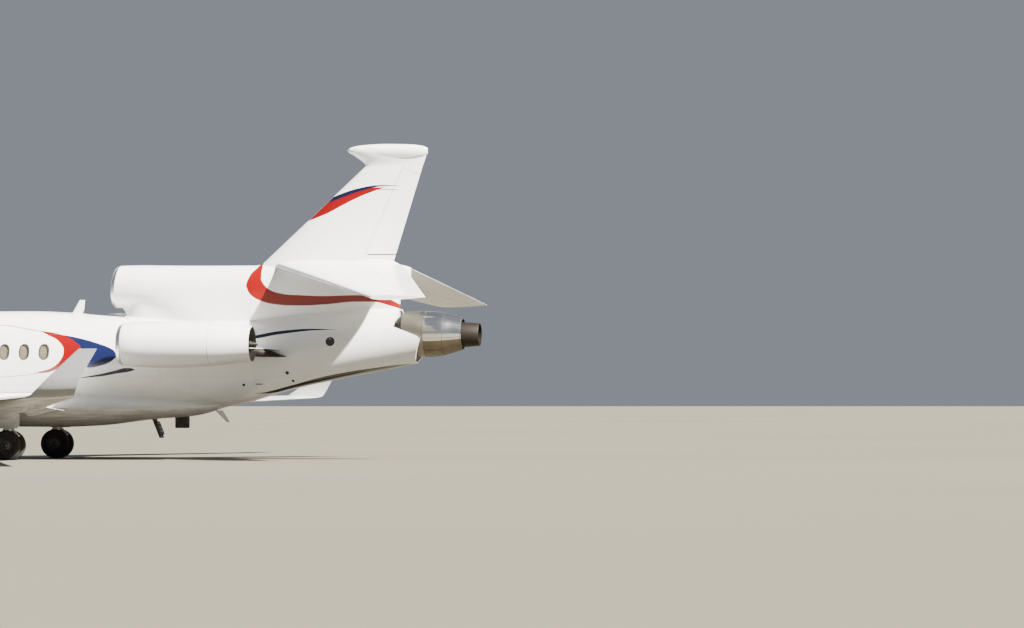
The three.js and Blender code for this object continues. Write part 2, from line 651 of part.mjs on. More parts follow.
function engines() {
  const { lip, side, height } = NACELLE;
  const place = (rows) => rows.map(([back, radius]) => [lip + back, radius]);
  addPair("nacelle", turned([...place(NACELLE_OUTSIDE), ...place(NACELLE_INSIDE)], side, height), WHITE);

  // The core is one plain block with the vanes that carry it and the exhaust cone behind.
  const { sides, shaft, shaftEnd } = FAN;
  const core = [
    [shaftEnd, 0], [shaftEnd, shaft], [15640, shaft], [15645, 210], [15900, 330], [17300, 330],
    [17850, 300], [17700, 150], [18155, 30], [18155, 0],
  ];
  const round = place(NACELLE_INSIDE).map(([station, radius]) => [station, radius - SEAT]);
  const behind = NACELLE.end + 50;
  const boreOutline = [[lip - 5, 0], ...round.slice().reverse(), [behind, 415 - SEAT], [behind, 0]];
  const bore = turned(boreOutline, side, height);
  let body = turned(core, side, height, sides);
  for (let i = 0; i < 6; i++) {
    const vane = new THREE.BoxGeometry(320, 24, 600);
    vane.translate(16200, 0, 300);
    vane.rotateX((i / 6) * 2 * Math.PI + Math.PI / 28);
    vane.translate(0, side, height);
    body = body.add(solid(vane).intersect(bore));
  }
  addPair("engine_core", body, METAL);

  // Fan: spinner, hub and blades, on the core's shaft
  const fanBore = boreRadius(shaft, Math.PI / sides);
  const fanStop = shaftEnd - RUNNING;
  const hub = [
    [14990, 0], [15050, 60], [15300, 140], [15560, 150], [15560, fanBore], [fanStop, fanBore], [fanStop, 0],
  ];
  let fan = turned(hub, side, height, sides);
  for (let i = 0; i < BLADES; i++) {
    const blade = new THREE.BoxGeometry(FAN.chord, 14, FAN.blade);
    blade.rotateZ(0.75);
    blade.translate(15400, 0, 122 + FAN.blade / 2);
    blade.rotateX((i / BLADES) * 2 * Math.PI);
    blade.translate(0, side, height);
    fan = fan.add(solid(blade));
  }
  addPair("fan", fan, METAL);

  const outside = NACELLE_OUTSIDE.map(([back, radius]) => [lip + back, radius + SEAT]);
  const filled = turned([[lip - 5, 0], ...outside, [NACELLE.end + 5, 0]], side, height);
  const pylonRows = [
    [700, 14950, 18820, 2740, 0.085],
    [1700, 15150, 18500, 2790, 0.085],
  ];
  let pylon = bladeLoft(pylonRows);
  pylon = pylon.subtract(filled).subtract(skinOuter);
  const outer = pylon.intersect(box(14000, 20000, 700, 1700, 2000, 3500));
  addPair("pylon", outer.decompose().sort((a, b) => b.volume() - a.volume())[0], WHITE);
}

// Tyres and wheels have flat facets, one of them on the ground.
const WHEEL_SIDES = 20;
const FLAT = Math.PI / WHEEL_SIDES; // half the angle of one facet

// A round bore that leaves a running gap round a shaft, whichever way the shaft's facets turn
const boreRadius = (shaft, facet = FLAT) => (shaft / Math.cos(FLAT) + RUNNING) / Math.cos(facet);

function wheelBore({ tyre: height, axle, station }, y) {
  const ends = [-110, 110].map((off) => at(station, y + off, height));
  return rod(...ends, boreRadius(axle), boreRadius(axle), WHEEL_SIDES);
}

function lathedWheel(profile) {
  const outline = profile.map(([r, y]) => new THREE.Vector2(r / Math.cos(FLAT), y));
  const closed = profile[0][0] > 0 ? [...outline, outline[0]] : outline;
  return new THREE.LatheGeometry(closed, WHEEL_SIDES, FLAT);
}

// A tyre with rounded shoulders about a line across the aircraft
function tyre(radius, width, bead) {
  const w = width / 2;
  return lathedWheel([
    [bead, -w * 0.75], [radius * 0.8, -w], [radius * 0.96, -w * 0.75], [radius, -w * 0.4],
    [radius, w * 0.4], [radius * 0.96, w * 0.75], [radius * 0.8, w], [bead, w * 0.75],
  ]);
}

// Two rims on one axle
function wheelPair({ spacing, width, axle }, bead) {
  const [w, rim] = [width / 2, bead - 1];
  const [inner, outer] = [spacing - w * 0.6, spacing + w * 0.6];
  return lathedWheel([
    [0, -outer], [rim * 0.45, -outer], [rim * 0.8, -spacing], [rim, -outer], [rim, -inner], [axle, -inner],
    [axle, inner], [rim, inner], [rim, outer], [rim * 0.8, spacing], [rim * 0.45, outer], [0, outer],
  ]);
}

function placed(geometry, x, y, z) {
  return solid(geometry.clone().translate(x, y, z));
}

function gear() {
  const fore = NOSE_GEAR;
  const noseBead = 110;
  const x = fore.station;
  const noseTyre = tyre(fore.tyre, fore.width, noseBead);
  add("nose_tyre_starboard", placed(noseTyre, x, fore.spacing, fore.tyre), RUBBER);
  add("nose_tyre_port", placed(noseTyre, x, -fore.spacing, fore.tyre), RUBBER);
  add("nose_wheels", placed(wheelPair(fore, noseBead), x, 0, fore.tyre), GEAR);
  const post = 50;
  const crossRod = 1480;
  const tubeBore = boreRadius(post) * 1.002;
  const tubeProfile = [
    [tubeBore, 760], [85, 760], [92, 800], [92, 1250], [70, 1600], [0, 1600], [0, 1500],
    [tubeBore, 1500], [tubeBore, 760],
  ];
  const tubeOutline = tubeProfile.map(([r, z]) => new THREE.Vector2(r, z));
  const tube = new THREE.LatheGeometry(tubeOutline, WHEEL_SIDES);
  tube.rotateX(Math.PI / 2);
  tube.translate(x, 0, 0);
  let leg = solid(tube);
  leg = leg.add(rod(at(x - 78, 0, 1060), at(x - 640, 0, 1590), 32));
  leg = leg.add(rod(at(x, -235, crossRod), at(x, 235, crossRod), 40));
  const bayAir = box(2350 + 18.5, 3760 - 18.5, -251, 251, 700, 1602 - 0.5);
  leg = leg.intersect(bayAir.add(box(3000, 3500, -251, 251, 700, 1300)));
  add("nose_leg", leg, GEAR);
  let fork = rod(at(x, 0, 330), at(x, 0, crossRod - 40 - SEAT), post, post, WHEEL_SIDES);
  fork = fork.add(box(x - 70, x + 70, -52, 52, 150, 400));
  fork = fork.add(box(x - 130, x - 40, -45, 45, 250, 350)); // towing pad
  fork = fork.subtract(wheelBore(fore, 0));
  add("nose_fork", fork, GEAR);

  const main = MAIN_GEAR;
  const mainBead = 195;
  const mainTyre = tyre(main.tyre, main.width, mainBead);
  const mainPiece = (geometry, y) => placed(geometry, main.station, y, main.tyre);
  for (const [name, side] of [["starboard", 1], ["port", -1]]) {
    const y = side * main.side;
    const off = side * main.spacing;
    add(`main_tyre_outer_${name}`, mainPiece(mainTyre, y + off), RUBBER);
    add(`main_tyre_inner_${name}`, mainPiece(mainTyre, y - off), RUBBER);
    add(`main_wheels_${name}`, mainPiece(wheelPair(main, mainBead), y), GEAR);
  }
  const m = main.station;
  let strut = rod(at(m, main.side, 430), at(m, main.side, 760), 68);
  strut = strut.add(rod(at(m, main.side, 740), at(m, main.side, 1300), 100, 105, 20));
  strut = strut.add(box(m - 95, m + 95, main.side - 72, main.side + 72, 270, 480));
  strut = strut.add(rod(at(m - 30, main.side, 850), at(m - 560, main.side - 250, 1300), 38));
  strut = strut.add(rod(at(m, main.side - 40, 900), at(m, main.side - 560, 1250), 45));
  strut = strut.add(box(m - 300, m + 330, main.side + 170, main.side + 192, 790, 1400));
  strut = strut.add(box(m - 60, m + 60, main.side + 60, main.side + 175, 850, 1000));
  strut = strut.subtract(wheelBore(main, main.side));
  strut = strut.subtract(bladeLoft(WING, SEAT));
  addPair("main_leg", strut.decompose().sort((a, b) => b.volume() - a.volume())[0], GEAR);
}

nose();
cabin();
rear();
centreIntake();
belly(wings());
tail();
engines();
gear();

export default aircraft;
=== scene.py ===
import bisect
import math

import bmesh
import bpy
from mathutils import Matrix, Vector


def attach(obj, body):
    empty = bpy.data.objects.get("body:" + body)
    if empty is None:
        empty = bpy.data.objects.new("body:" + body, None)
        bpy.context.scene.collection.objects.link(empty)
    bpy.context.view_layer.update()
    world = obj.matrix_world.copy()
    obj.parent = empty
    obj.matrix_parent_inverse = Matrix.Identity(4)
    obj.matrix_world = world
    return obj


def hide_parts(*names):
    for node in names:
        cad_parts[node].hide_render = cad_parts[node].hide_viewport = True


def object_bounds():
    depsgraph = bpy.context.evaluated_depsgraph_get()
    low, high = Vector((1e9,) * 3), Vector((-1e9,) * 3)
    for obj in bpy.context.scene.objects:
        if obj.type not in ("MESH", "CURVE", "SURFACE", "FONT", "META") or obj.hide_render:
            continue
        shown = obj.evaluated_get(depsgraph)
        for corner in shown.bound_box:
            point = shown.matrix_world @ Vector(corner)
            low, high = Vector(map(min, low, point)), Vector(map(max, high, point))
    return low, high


bl_info = {
    "name": "Parked business jet",
    "version": (1, 0, 0),
    "blender": (4, 5, 0),
    "location": "View3D > Sidebar > Jet",
    "description": "Dresses the packed model of a three-engine business jet",
    "category": "Object",
}

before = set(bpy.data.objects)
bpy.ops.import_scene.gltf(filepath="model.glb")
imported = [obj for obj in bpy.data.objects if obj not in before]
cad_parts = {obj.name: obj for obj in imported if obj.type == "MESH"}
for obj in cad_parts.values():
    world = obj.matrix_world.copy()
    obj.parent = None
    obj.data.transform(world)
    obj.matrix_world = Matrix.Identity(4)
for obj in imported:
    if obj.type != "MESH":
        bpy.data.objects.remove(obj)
CAD_BOX = [list(corner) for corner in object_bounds()]
NOSE = CAD_BOX[0][0]  # where station 0 lies along X

# Everything below is in metres. A station is a distance aft of the nose.
SEAT = 0.0003  # left between pieces that touch
WALL = 0.085  # cabin wall, outer skin to inner trim
REAR_WALL = 0.04
FLOOR = 1.7
RADOME_END, FRONT_END, ENTRY_END, CABIN_END, REAR_END = 1.2, 3.35, 5.4, 13.3, 22.0
CENTRE_AXIS = 3.155  # height of the centre engine's axis
INTAKE_MOUTH, COWL_END, DUCT_END = 14.12, 17.6, 16.9

# Fuselage skin: station, top, bottom, half width, height of the widest point
SKIN = [
    (0, 1.95, 1.91, 0.02, 1.93),
    (0.11, 2.068, 1.8, 0.15, 1.93),
    (0.4, 2.225, 1.65, 0.335, 1.925),
    (0.8, 2.375, 1.555, 0.51, 1.95),
    (RADOME_END, 2.5, 1.48, 0.665, 1.985),
    (1.7, 2.65, 1.41, 0.83, 2.05),
    (2.15, 2.95, 1.35, 0.965, 2.15),
    (2.7, 3.33, 1.29, 1.09, 2.26),
    (FRONT_END, 3.62, 1.235, 1.2, 2.38),
    (4.0, 3.725, 1.212, 1.255, 2.45),
    (4.7, 3.755, 1.205, 1.27, 2.48),
    (ENTRY_END, 3.758, 1.205, 1.275, 2.48),
    (11.8, 3.758, 1.205, 1.275, 2.48),
    (CABIN_END, 3.69, 1.205, 1.255, 2.47),
    (14.5, 3.6, 1.205, 1.19, 2.44),
    (16.0, 3.5, 1.215, 1.07, 2.4),
    (17.35, 3.48, 1.42, 0.945, 2.48),
    (18.6, 3.62, 1.77, 0.83, 2.7),
    (20.06, 3.74, 2.08, 0.735, 2.92),
    (21.4, 3.79, 2.335, 0.665, 3.07),
    (REAR_END, 3.79, 2.46, 0.64, 3.13),
]
# Wing-to-body fairing, fin base, fin bullet, intake cowl and air duct, in the same columns
FAIRING = [
    (6.9, 1.42, 1.19, 0.42, 1.3),
    (7.5, 1.65, 1.06, 0.86, 1.38),
    (8.3, 1.76, 0.9, 1.21, 1.35),
    (9.5, 1.79, 0.82, 1.38, 1.33),
    (12.6, 1.79, 0.815, 1.38, 1.33),
    (13.6, 1.74, 0.85, 1.28, 1.33),
    (15.0, 1.64, 1.01, 1.01, 1.34),
    (16.2, 1.5, 1.1, 0.66, 1.32),
    (16.95, 1.42, 1.25, 0.38, 1.34),
]
FIN_BASE = [
    (COWL_END, 4.89, 3.0, 0.36, 4.3),
    (18.25, 4.96, 3.0, 0.272, 4.4),
    (20.6, 5.06, 3.0, 0.272, 4.4),
    (21.15, 4.99, 3.0, 0.215, 4.4),
    (21.33, 4.9, 3.0, 0.11, 4.4),
]
FIN_HEEL = [
    (20.9, 4.97, 4.2, 0.18, 4.6),
    (21.33, 4.9, 4.3, 0.11, 4.6),
    (21.62, 4.82, 4.38, 0.02, 4.6),
]
BULLET = [
    (19.99, 7.775, 7.765, 0.01, 7.77),
    (20.08, 7.845, 7.69, 0.085, 7.765),
    (20.35, 7.9, 7.6, 0.15, 7.76),
    (20.9, 7.93, 7.54, 0.175, 7.755),
    (21.5, 7.918, 7.55, 0.15, 7.75),
    (22.02, 7.85, 7.64, 0.06, 7.745),
    (22.04, 7.82, 7.67, 0.035, 7.745),
]
# The fin spreads from here up to the bullet: height, leading edge, trailing edge, -, thickness over chord
FIN_TOP = [
    (7.36, 20.46, 21.915, 0, 0.102),
    (7.43, 20.44, 21.94, 0, 0.11),
    (7.51, 20.36, 21.97, 0, 0.13),
    (7.61, 20.21, 22.0, 0, 0.158),
    (7.7, 20.1, 22.025, 0, 0.174),
    (7.74, 20.06, 22.03, 0, 0.174),
]
COWL = [
    (INTAKE_MOUTH, 4.905, 3.835, 0.54, 4.37),
    (14.7, 4.915, 3.81, 0.562, 4.36),
    (15.3, 4.905, 3.6, 0.556, 4.33),
    (16.2, 4.895, 3.2, 0.5, 4.28),
    (COWL_END, 4.89, 3.0, 0.36, 4.3),
]
DUCT = [
    (INTAKE_MOUTH, 4.79, 3.955, 0.422, 4.372),
    (14.9, 4.76, 3.93, 0.42, 4.345),
    (15.9, 4.66, 3.84, 0.39, 4.25),
    (DUCT_END, 4.48, 3.8, 0.3, 4.14),
]
WING_END = 12.6
# Blades: span, leading edge, trailing edge, height, thickness over chord, lean in degrees
WING = [
    (0.9, 7.84, 13.03, 1.215, 0.118, 0),
    (4.6, 10.45, 13.45, 1.33, 0.105, 0),
    (9.0, 13.13, 15.1, 1.46, 0.1, 0),
    (WING_END, 15.33, 16.45, 1.57, 0.1, 0),
]
WINGLET = [
    (WING_END + SEAT, 15.33, 16.45, 1.57, 0.1, 0),
    (12.82, 15.48, 16.52, 1.6, 0.1, 25),
    (12.985, 15.68, 16.6, 1.74, 0.1, 58),
    (13.049, 15.96, 16.72, 1.99, 0.095, 78),
    (13.089, 16.69, 17.11, 2.64, 0.09, 85),
]
TAILPLANE = [
    (0.15, 18.175, 21.436, 4.874, 0.095, 0),
    (4.215, 21.45, 22.81, 3.97, 0.085, 0),
]
FIN = [
    (4.6, 17.45, 21.06, 0, 0.115, 0),
    (7.52, 20.62, 21.965, 0, 0.105, 0),
]
PYLON = [
    (0.7, 14.95, 18.5, 2.74, 0.085, 0),
    (1.3, 15.07, 18.3, 2.77, 0.085, 0),
    (1.7, 15.15, 17.85, 2.79, 0.085, 0),
]
# Hinged surfaces: blade, span from and to, hinge line there and there
SURFACES = {
    "flap_inboard": (WING, 1.64, 4.44, 12.13, 12.7),
    "flap_outboard": (WING, 4.66, 8.96, 12.8, 14.59),
    "aileron": (WING, 9.14, 12.24, 14.65, 15.985),
    "elevator": (TAILPLANE, 0.64, 4.09, 20.66, 22.31),
    "rudder": (FIN, 5.18, 7.33, 20.48, 21.43),
}
PLAY = 0.008  # gap round a hinged surface
RUDDER_FLOOR, RUDDER_BAY_FLOOR = 5.17, 5.14

SIDES = {"starboard": 1, "port": -1}
ACROSS, UPWARDS = (0, 1, 0), (0, 0, 1)


def at(station, y, z):
    """A point given by its station."""
    return Vector((station + NOSE, y, z))


def smooth_curve(rows, stretch=lambda x: x):
    """A function of the first column that runs smoothly through the rows and never overshoots them."""
    keys = [stretch(row[0]) for row in rows]
    gaps = [b - a for a, b in zip(keys, keys[1:])]
    columns = list(zip(*rows))[1:]
    slopes = []
    for column in columns:
        rises = [(b - a) / gap for a, b, gap in zip(column, column[1:], gaps)]
        inner = [0 if p * q <= 0 else 2 * p * q / (p + q) for p, q in zip(rises, rises[1:])]
        slopes.append([rises[0]] + inner + [rises[-1]])

    def value(key):
        where = min(max(stretch(key), keys[0]), keys[-1])
        i = min(max(bisect.bisect(keys, where) - 1, 0), len(gaps) - 1)
        t = (where - keys[i]) / gaps[i]
        weights = (2 * t**3 - 3 * t**2 + 1, (t**3 - 2 * t**2 + t) * gaps[i])
        weights += (3 * t**2 - 2 * t**3, (t**3 - t**2) * gaps[i])
        return [
            sum(w * v for w, v in zip(weights, (column[i], slope[i], column[i + 1], slope[i + 1])))
            for column, slope in zip(columns, slopes)
        ]

    return value


skin = smooth_curve(SKIN, math.sqrt)


def steps(start, end, count):
    """Count + 1 values from start to end."""
    return [start + (end - start) * i / count for i in range(count + 1)]


def turns(count, start=0.0):
    """The angles of count points round a circle."""
    return [start + 2 * math.pi * i / count for i in range(count)]


def body_ring(curve, station, grow=0.0, sides=96):
    """A body section: half ellipses above and below its widest height."""
    top, bottom, half, widest = curve(station)
    ring = []
    for turn in turns(sides):
        rise = (top - widest if math.sin(turn) > 0 else widest - bottom) + grow
        ring.append(at(station, (half + grow) * math.cos(turn), widest + rise * math.sin(turn)))
    return ring


def circle(centre, radius, count):
    """Points round a circle that faces along X."""
    return [centre + radius * Vector((0, math.cos(turn), math.sin(turn))) for turn in turns(count)]


def half_at(curve, station, z):
    """Half the width of a body at a height."""
    top, bottom, half, widest = curve(station)
    rise = top - widest if z > widest else widest - bottom
    return half * math.sqrt(max(0.0, 1 - ((z - widest) / rise) ** 2))


def wall_y(station, z):
    """Half the width of the fuselage at a height."""
    return half_at(skin, station, z)


def loft(rings, loop=False):
    """A closed shape through rings of as many points each. Loop joins the last ring to the first."""
    rings = rings + rings[:1] if loop else rings
    count, rows = len(rings[0]), len(rings) - 1
    bm = bmesh.new()
    grid = bmesh.ops.create_grid(bm, x_segments=count, y_segments=rows, size=0.5)
    for corner in grid["verts"]:
        ring = rings[round((corner.co.y + 0.5) * rows)]
        corner.co = ring[round((corner.co.x + 0.5) * count) % count]
    return closed(bm)


def closed(bm):
    """Merges what meets, fills what is open and turns the faces outwards."""
    bmesh.ops.remove_doubles(bm, verts=bm.verts, dist=1e-5)
    bmesh.ops.holes_fill(bm, edges=[edge for edge in bm.edges if edge.is_boundary], sides=0)
    bmesh.ops.recalc_face_normals(bm, faces=bm.faces)
    return bm


def turned(outline, centre, sides=48, axis=(1, 0, 0)):
    """Spins an outline of (distance along the axis, radius) pairs round an axis through the centre."""
    axis = Vector(axis)
    side = axis.orthogonal().normalized()
    bm = bmesh.new()
    corners = [bm.verts.new(axis * along + side * radius) for along, radius in outline]
    ring = corners + corners[:1] if outline[0][1] > 0 else corners
    edges = [bm.edges.new(pair) for pair in zip(ring, ring[1:])]
    bmesh.ops.spin(
        bm, geom=corners + edges, cent=(0, 0, 0), axis=axis, angle=2 * math.pi, steps=sides, use_merge=True
    )
    bmesh.ops.translate(bm, vec=centre, verts=bm.verts)
    return closed(bm)


def rod(start, end, radius, end_radius=None, sides=16, bevel=0.0):
    """A round bar between two points, with its rims bevelled."""
    way = end - start
    bm = bmesh.new()
    bmesh.ops.create_cone(
        bm, cap_ends=True, segments=sides, radius1=radius, radius2=end_radius or radius, depth=way.length
    )
    turn = way.to_track_quat("Z", "Y").to_matrix().to_4x4()
    bmesh.ops.transform(bm, matrix=Matrix.Translation((start + end) / 2) @ turn, verts=bm.verts)
    if bevel:
        rims = [edge for edge in bm.edges if any(len(face.verts) > 4 for face in edge.link_faces)]
        bevel_edges(bm, rims, bevel)
    return bm


def bevel_edges(bm, edges, width, segments=2):
    bmesh.ops.bevel(
        bm, geom=edges, offset=width, segments=segments, affect="EDGES",
        profile=0.5, material=-1, clamp_overlap=True,
    )


def block(start, end, bevel=0.0, segments=2):
    """A box between any two opposite corners, with its edges bevelled."""
    bm = bmesh.new()
    bmesh.ops.create_cube(bm, size=1)
    bmesh.ops.scale(bm, vec=[abs(b - a) for a, b in zip(start, end)], verts=bm.verts)
    bmesh.ops.translate(bm, vec=(Vector(start) + Vector(end)) / 2, verts=bm.verts)
    if bevel:
        bevel_edges(bm, bm.edges[:], bevel, segments)
    return bm


def plate(outline, thickness, place, bevel=0.0):
    """A flat plate: outline points placed in space and pushed through by a thickness vector."""
    bm = bmesh.new()
    face = bm.faces.new([bm.verts.new(place(*point)) for point in outline])
    made = bmesh.ops.extrude_face_region(bm, geom=[face])["geom"]
    moved = [v for v in made if isinstance(v, bmesh.types.BMVert)]
    bmesh.ops.translate(bm, vec=thickness, verts=moved)
    closed(bm)
    if bevel:
        bevel_edges(bm, bm.edges[:], bevel)
    return bm


def tube(points, radius, sides=10):
    """A round tube along a list of points."""
    rings = []
    for i, point in enumerate(points):
        way = (points[min(i + 1, len(points) - 1)] - points[max(i - 1, 0)]).normalized()
        side = way.cross(Vector((0.13, 0.31, 0.94))).normalized()
        up = side.cross(way)
        rings.append([point + radius * (math.cos(t) * side + math.sin(t) * up) for t in turns(sides)])
    return loft(rings)


def joined(*parts):
    """All the parts in one mesh. The parts are used up."""
    whole = bmesh.new()
    for part in parts:
        mesh = bpy.data.meshes.new("part")
        part.to_mesh(mesh)
        part.free()
        whole.from_mesh(mesh)
        bpy.data.meshes.remove(mesh)
    return whole


def moved(bm, offset=(0, 0, 0), turn=0.0, axis="X", scale=(1, 1, 1)):
    """The shape scaled and turned about the origin, then moved."""
    matrix = Matrix.Translation(offset) @ Matrix.Rotation(turn, 4, axis) @ Matrix.Diagonal((*scale, 1))
    bmesh.ops.transform(bm, matrix=matrix, verts=bm.verts)
    if matrix.determinant() < 0:
        bmesh.ops.reverse_faces(bm, faces=bm.faces)
    return bm


def mirrored(bm, side):
    """The shape as drawn for starboard, or its mirror image for port."""
    return moved(bm, scale=(1, side, 1)) if side < 0 else bm


def with_material(bm, index, wanted=lambda centre: True):
    """Gives the faces whose centre is wanted another of the piece's materials."""
    for face in bm.faces:
        if wanted(face.calc_center_median()):
            face.material_index = index
    return bm


def boolean(bm, tool, operation="DIFFERENCE"):
    """The first shape with the second cut from it, or what both share."""
    objects = []
    for part in (bm, tool):
        mesh = bpy.data.meshes.new("part")
        part.to_mesh(mesh)
        part.free()
        objects.append(bpy.data.objects.new("part", mesh))
        bpy.context.scene.collection.objects.link(objects[-1])
    modifier = objects[0].modifiers.new("cut", "BOOLEAN")
    modifier.operation = operation
    modifier.object = objects[1]
    modifier.solver = "EXACT"
    modifier.material_mode = "INDEX"
    depsgraph = bpy.context.evaluated_depsgraph_get()
    result = bpy.data.meshes.new_from_object(objects[0].evaluated_get(depsgraph))
    cut = bmesh.new()
    cut.from_mesh(result)
    for used in [result] + [part.data for part in objects]:
        bpy.data.meshes.remove(used)
    if not cut.faces:
        raise RuntimeError("a cut left nothing")
    return cut


def trimmed(bm, point, normal):
    """The shape without what lies on the normal's side of a plane, closed there again."""
    geometry = bm.verts[:] + bm.edges[:] + bm.faces[:]
    bmesh.ops.bisect_plane(bm, geom=geometry, plane_co=point, plane_no=normal, clear_outer=True)
    return closed(bm)


SHARP = math.radians(32)  # edges with a sharper bend than this stay crisp


def finish_piece(name, bm, materials, replaces=(), body="airframe"):
    """An object of a shape or shapes, with its materials, the nodes it replaces and its body."""
    bm = joined(*bm) if isinstance(bm, list) else bm
    bmesh.ops.remove_doubles(bm, verts=bm.verts, dist=1e-6)
    bmesh.ops.recalc_face_normals(bm, faces=bm.faces)
    mesh = bpy.data.meshes.new(name)
    bm.to_mesh(mesh)
    bm.free()
    mesh.shade_smooth()
    mesh.set_sharp_from_angle(angle=SHARP)
    for finish in materials.split():
        mesh.materials.append(material(finish))
    piece = bpy.data.objects.new(name, mesh)
    bpy.context.scene.collection.objects.link(piece)
    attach(piece, body)
    if replaces:
        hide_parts(*replaces)
    return piece


# A crescent behind the windows, between a rear and a front edge given as (height, station)
WINDOW_CRESCENT = (
    [(2.165, 12.16), (2.2, 12.59), (2.36, 12.95), (2.54, 13.2), (2.78, 13.42), (2.92, 13.31), (3.1, 13.0)]
    + [(3.19, 12.68), (3.26, 12.18)],
    [(2.165, 12.15), (2.2, 12.3), (2.32, 12.68), (2.49, 12.88), (2.72, 12.965), (2.97, 12.82), (3.14, 12.5)]
    + [(3.225, 12.3), (3.26, 12.17)],
)
# Painted bands, each between an upper and a lower edge given as (station, height)
BLUE_SWEEP = (
    [(12.7, 3.17), (13.1, 3.11), (13.43, 3.04), (13.85, 2.92), (14.13, 2.82), (14.27, 2.73), (14.33, 2.6)],
    [(12.7, 3.16), (13.1, 2.9), (13.44, 2.34), (13.65, 2.31), (13.93, 2.36), (14.15, 2.44), (14.33, 2.58)],
)
NAVY_SWEEP = (
    [(13.4, 2.07), (14.0, 2.175), (14.3, 2.245), (14.62, 2.31), (14.82, 2.262)],
    [(13.4, 2.045), (14.0, 2.1), (14.3, 2.155), (14.62, 2.2), (14.82, 2.26)],
)
UPPER_PIN_LINE = (
    [(3.9, 3.305), (5.2, 3.405), (8.0, 3.485), (11.32, 3.4), (11.74, 3.342), (12.2, 3.262), (12.5, 3.21)],
    [(3.9, 3.303), (5.2, 3.382), (8.0, 3.457), (11.32, 3.372), (11.74, 3.312), (12.2, 3.235), (12.5, 3.205)],
)
LOWER_PIN_LINE = (
    [(0.6, 2.06), (2.5, 2.012), (5.4, 2.0), (9.0, 2.03), (11.32, 2.088), (11.74, 2.118), (12.6, 2.198)],
    [(0.6, 2.058), (2.5, 1.988), (5.4, 1.972), (9.0, 2.002), (11.32, 2.062), (11.74, 2.092), (12.6, 2.196)],
)
TAIL_SWEEP = (
    [(17.46, 4.37), (17.5, 4.53), (17.67, 4.79), (17.97, 4.99), (21.62, 4.99)],
    [(17.46, 4.37), (17.57, 4.15), (17.83, 3.99), (18.16, 3.905), (18.88, 3.87), (19.45, 3.895), (20.3, 3.96)]
    + [(20.73, 3.955), (21.15, 3.85), (21.48, 3.735), (21.62, 3.69)],
)
TAIL_FIELD = (
    [(17.7, 9.0), (21.5, 9.0)],
    [(17.7, 4.8), (17.85, 4.5), (18.0, 4.31), (18.32, 4.18), (18.88, 4.13), (19.45, 4.11), (20.3, 4.125)]
    + [(20.94, 4.085), (21.2, 3.985), (21.4, 3.86), (21.62, 3.7)],
)
TAIL_FIELD_START = 17.84  # the horn of the sweep lies ahead of this station
TAIL_LINE = (
    [(17.1, 2.99), (17.81, 3.125), (18.28, 3.215), (18.7, 3.26), (19.21, 3.285), (19.9, 3.262)],
    [(17.1, 2.985), (17.81, 3.035), (18.28, 3.12), (18.7, 3.18), (19.21, 3.233), (19.9, 3.26)],
)
KEEL_STRIPE = (
    [(17.7, 1.66), (18.0, 1.71), (18.65, 1.875), (19.28, 2.045), (19.92, 2.18), (20.77, 2.31), (21.4, 2.39)]
    + [(21.9, 2.43)],
    [(17.7, 1.655), (18.0, 1.66), (18.65, 1.79), (19.28, 1.92), (19.92, 2.0), (21.9, 2.1)],
)
FIN_NAVY = (
    [(19.2, 6.44), (19.48, 6.545), (19.82, 6.68), (20.33, 6.83), (20.76, 6.895), (21.0, 6.9), (21.32, 6.888)],
    [(19.2, 6.42), (19.48, 6.46), (19.91, 6.6), (20.33, 6.74), (20.8, 6.85), (21.0, 6.868), (21.32, 6.872)],
)
FIN_RED = (
    [(18.9, 6.2), (19.34, 6.46), (19.91, 6.63), (20.33, 6.76), (20.8, 6.84), (21.0, 6.84)],
    [(18.9, 5.97), (19.48, 6.18), (19.91, 6.4), (20.33, 6.6), (20.8, 6.775), (21.0, 6.835)],
)
FIN_LINE = (
    [(20.75, 6.785), (21.0, 6.795), (21.32, 6.782)],
    [(20.75, 6.765), (21.0, 6.765), (21.32, 6.768)],
)


def connect(tree, socket, value):
    """Links a socket to another node's, or sets its value."""
    if isinstance(value, bpy.types.NodeSocket):
        tree.links.new(value, socket)
    elif value is not None:
        socket.default_value = value


def add(tree, kind, inputs=(), **settings):
    """A shader node with its settings and inputs."""
    made = tree.nodes.new("ShaderNode" + kind)
    for key, value in settings.items():
        setattr(made, key, value)
    for key, value in inputs.items() if isinstance(inputs, dict) else enumerate(inputs):
        connect(tree, made.inputs[key], value)
    return made


def calc(tree, operation, *values, clamp=False):
    return add(tree, "Math", values, operation=operation, use_clamp=clamp).outputs[0]


def times(tree, a, b, clamp=False):
    return calc(tree, "MULTIPLY", a, b, clamp=clamp)


def blend(tree, factor, low, high, kind="MIX"):
    """A colour between two, by a factor from 0 to 1."""
    return add(tree, "Mix", {0: factor, 6: low, 7: high}, data_type="RGBA", blend_type=kind).outputs[2]


def shaded(tree, colour, amount):
    """A colour made lighter or darker."""
    return add(tree, "VectorMath", {0: colour, "Scale": amount}, operation="SCALE").outputs[0]


def ramp(tree, value, low, high, start=0.0, end=1.0):
    """A value that runs from start to end as the input runs from low to high."""
    return add(tree, "MapRange", (value, low, high, start, end)).outputs[0]


def bumped(tree, height, strength, distance):
    return add(tree, "Bump", {"Height": height, "Strength": strength, "Distance": distance}).outputs[0]


def place_on_object(tree, scale=(1, 1, 1)):
    """Object coordinates, stretched."""
    where = add(tree, "TexCoord").outputs["Object"]
    return add(tree, "Mapping", {"Vector": where, "Scale": scale}).outputs[0]


def noise(tree, where, scale, detail=3.0):
    return add(tree, "TexNoise", {"Vector": where, "Scale": scale, "Detail": detail}).outputs["Fac"]


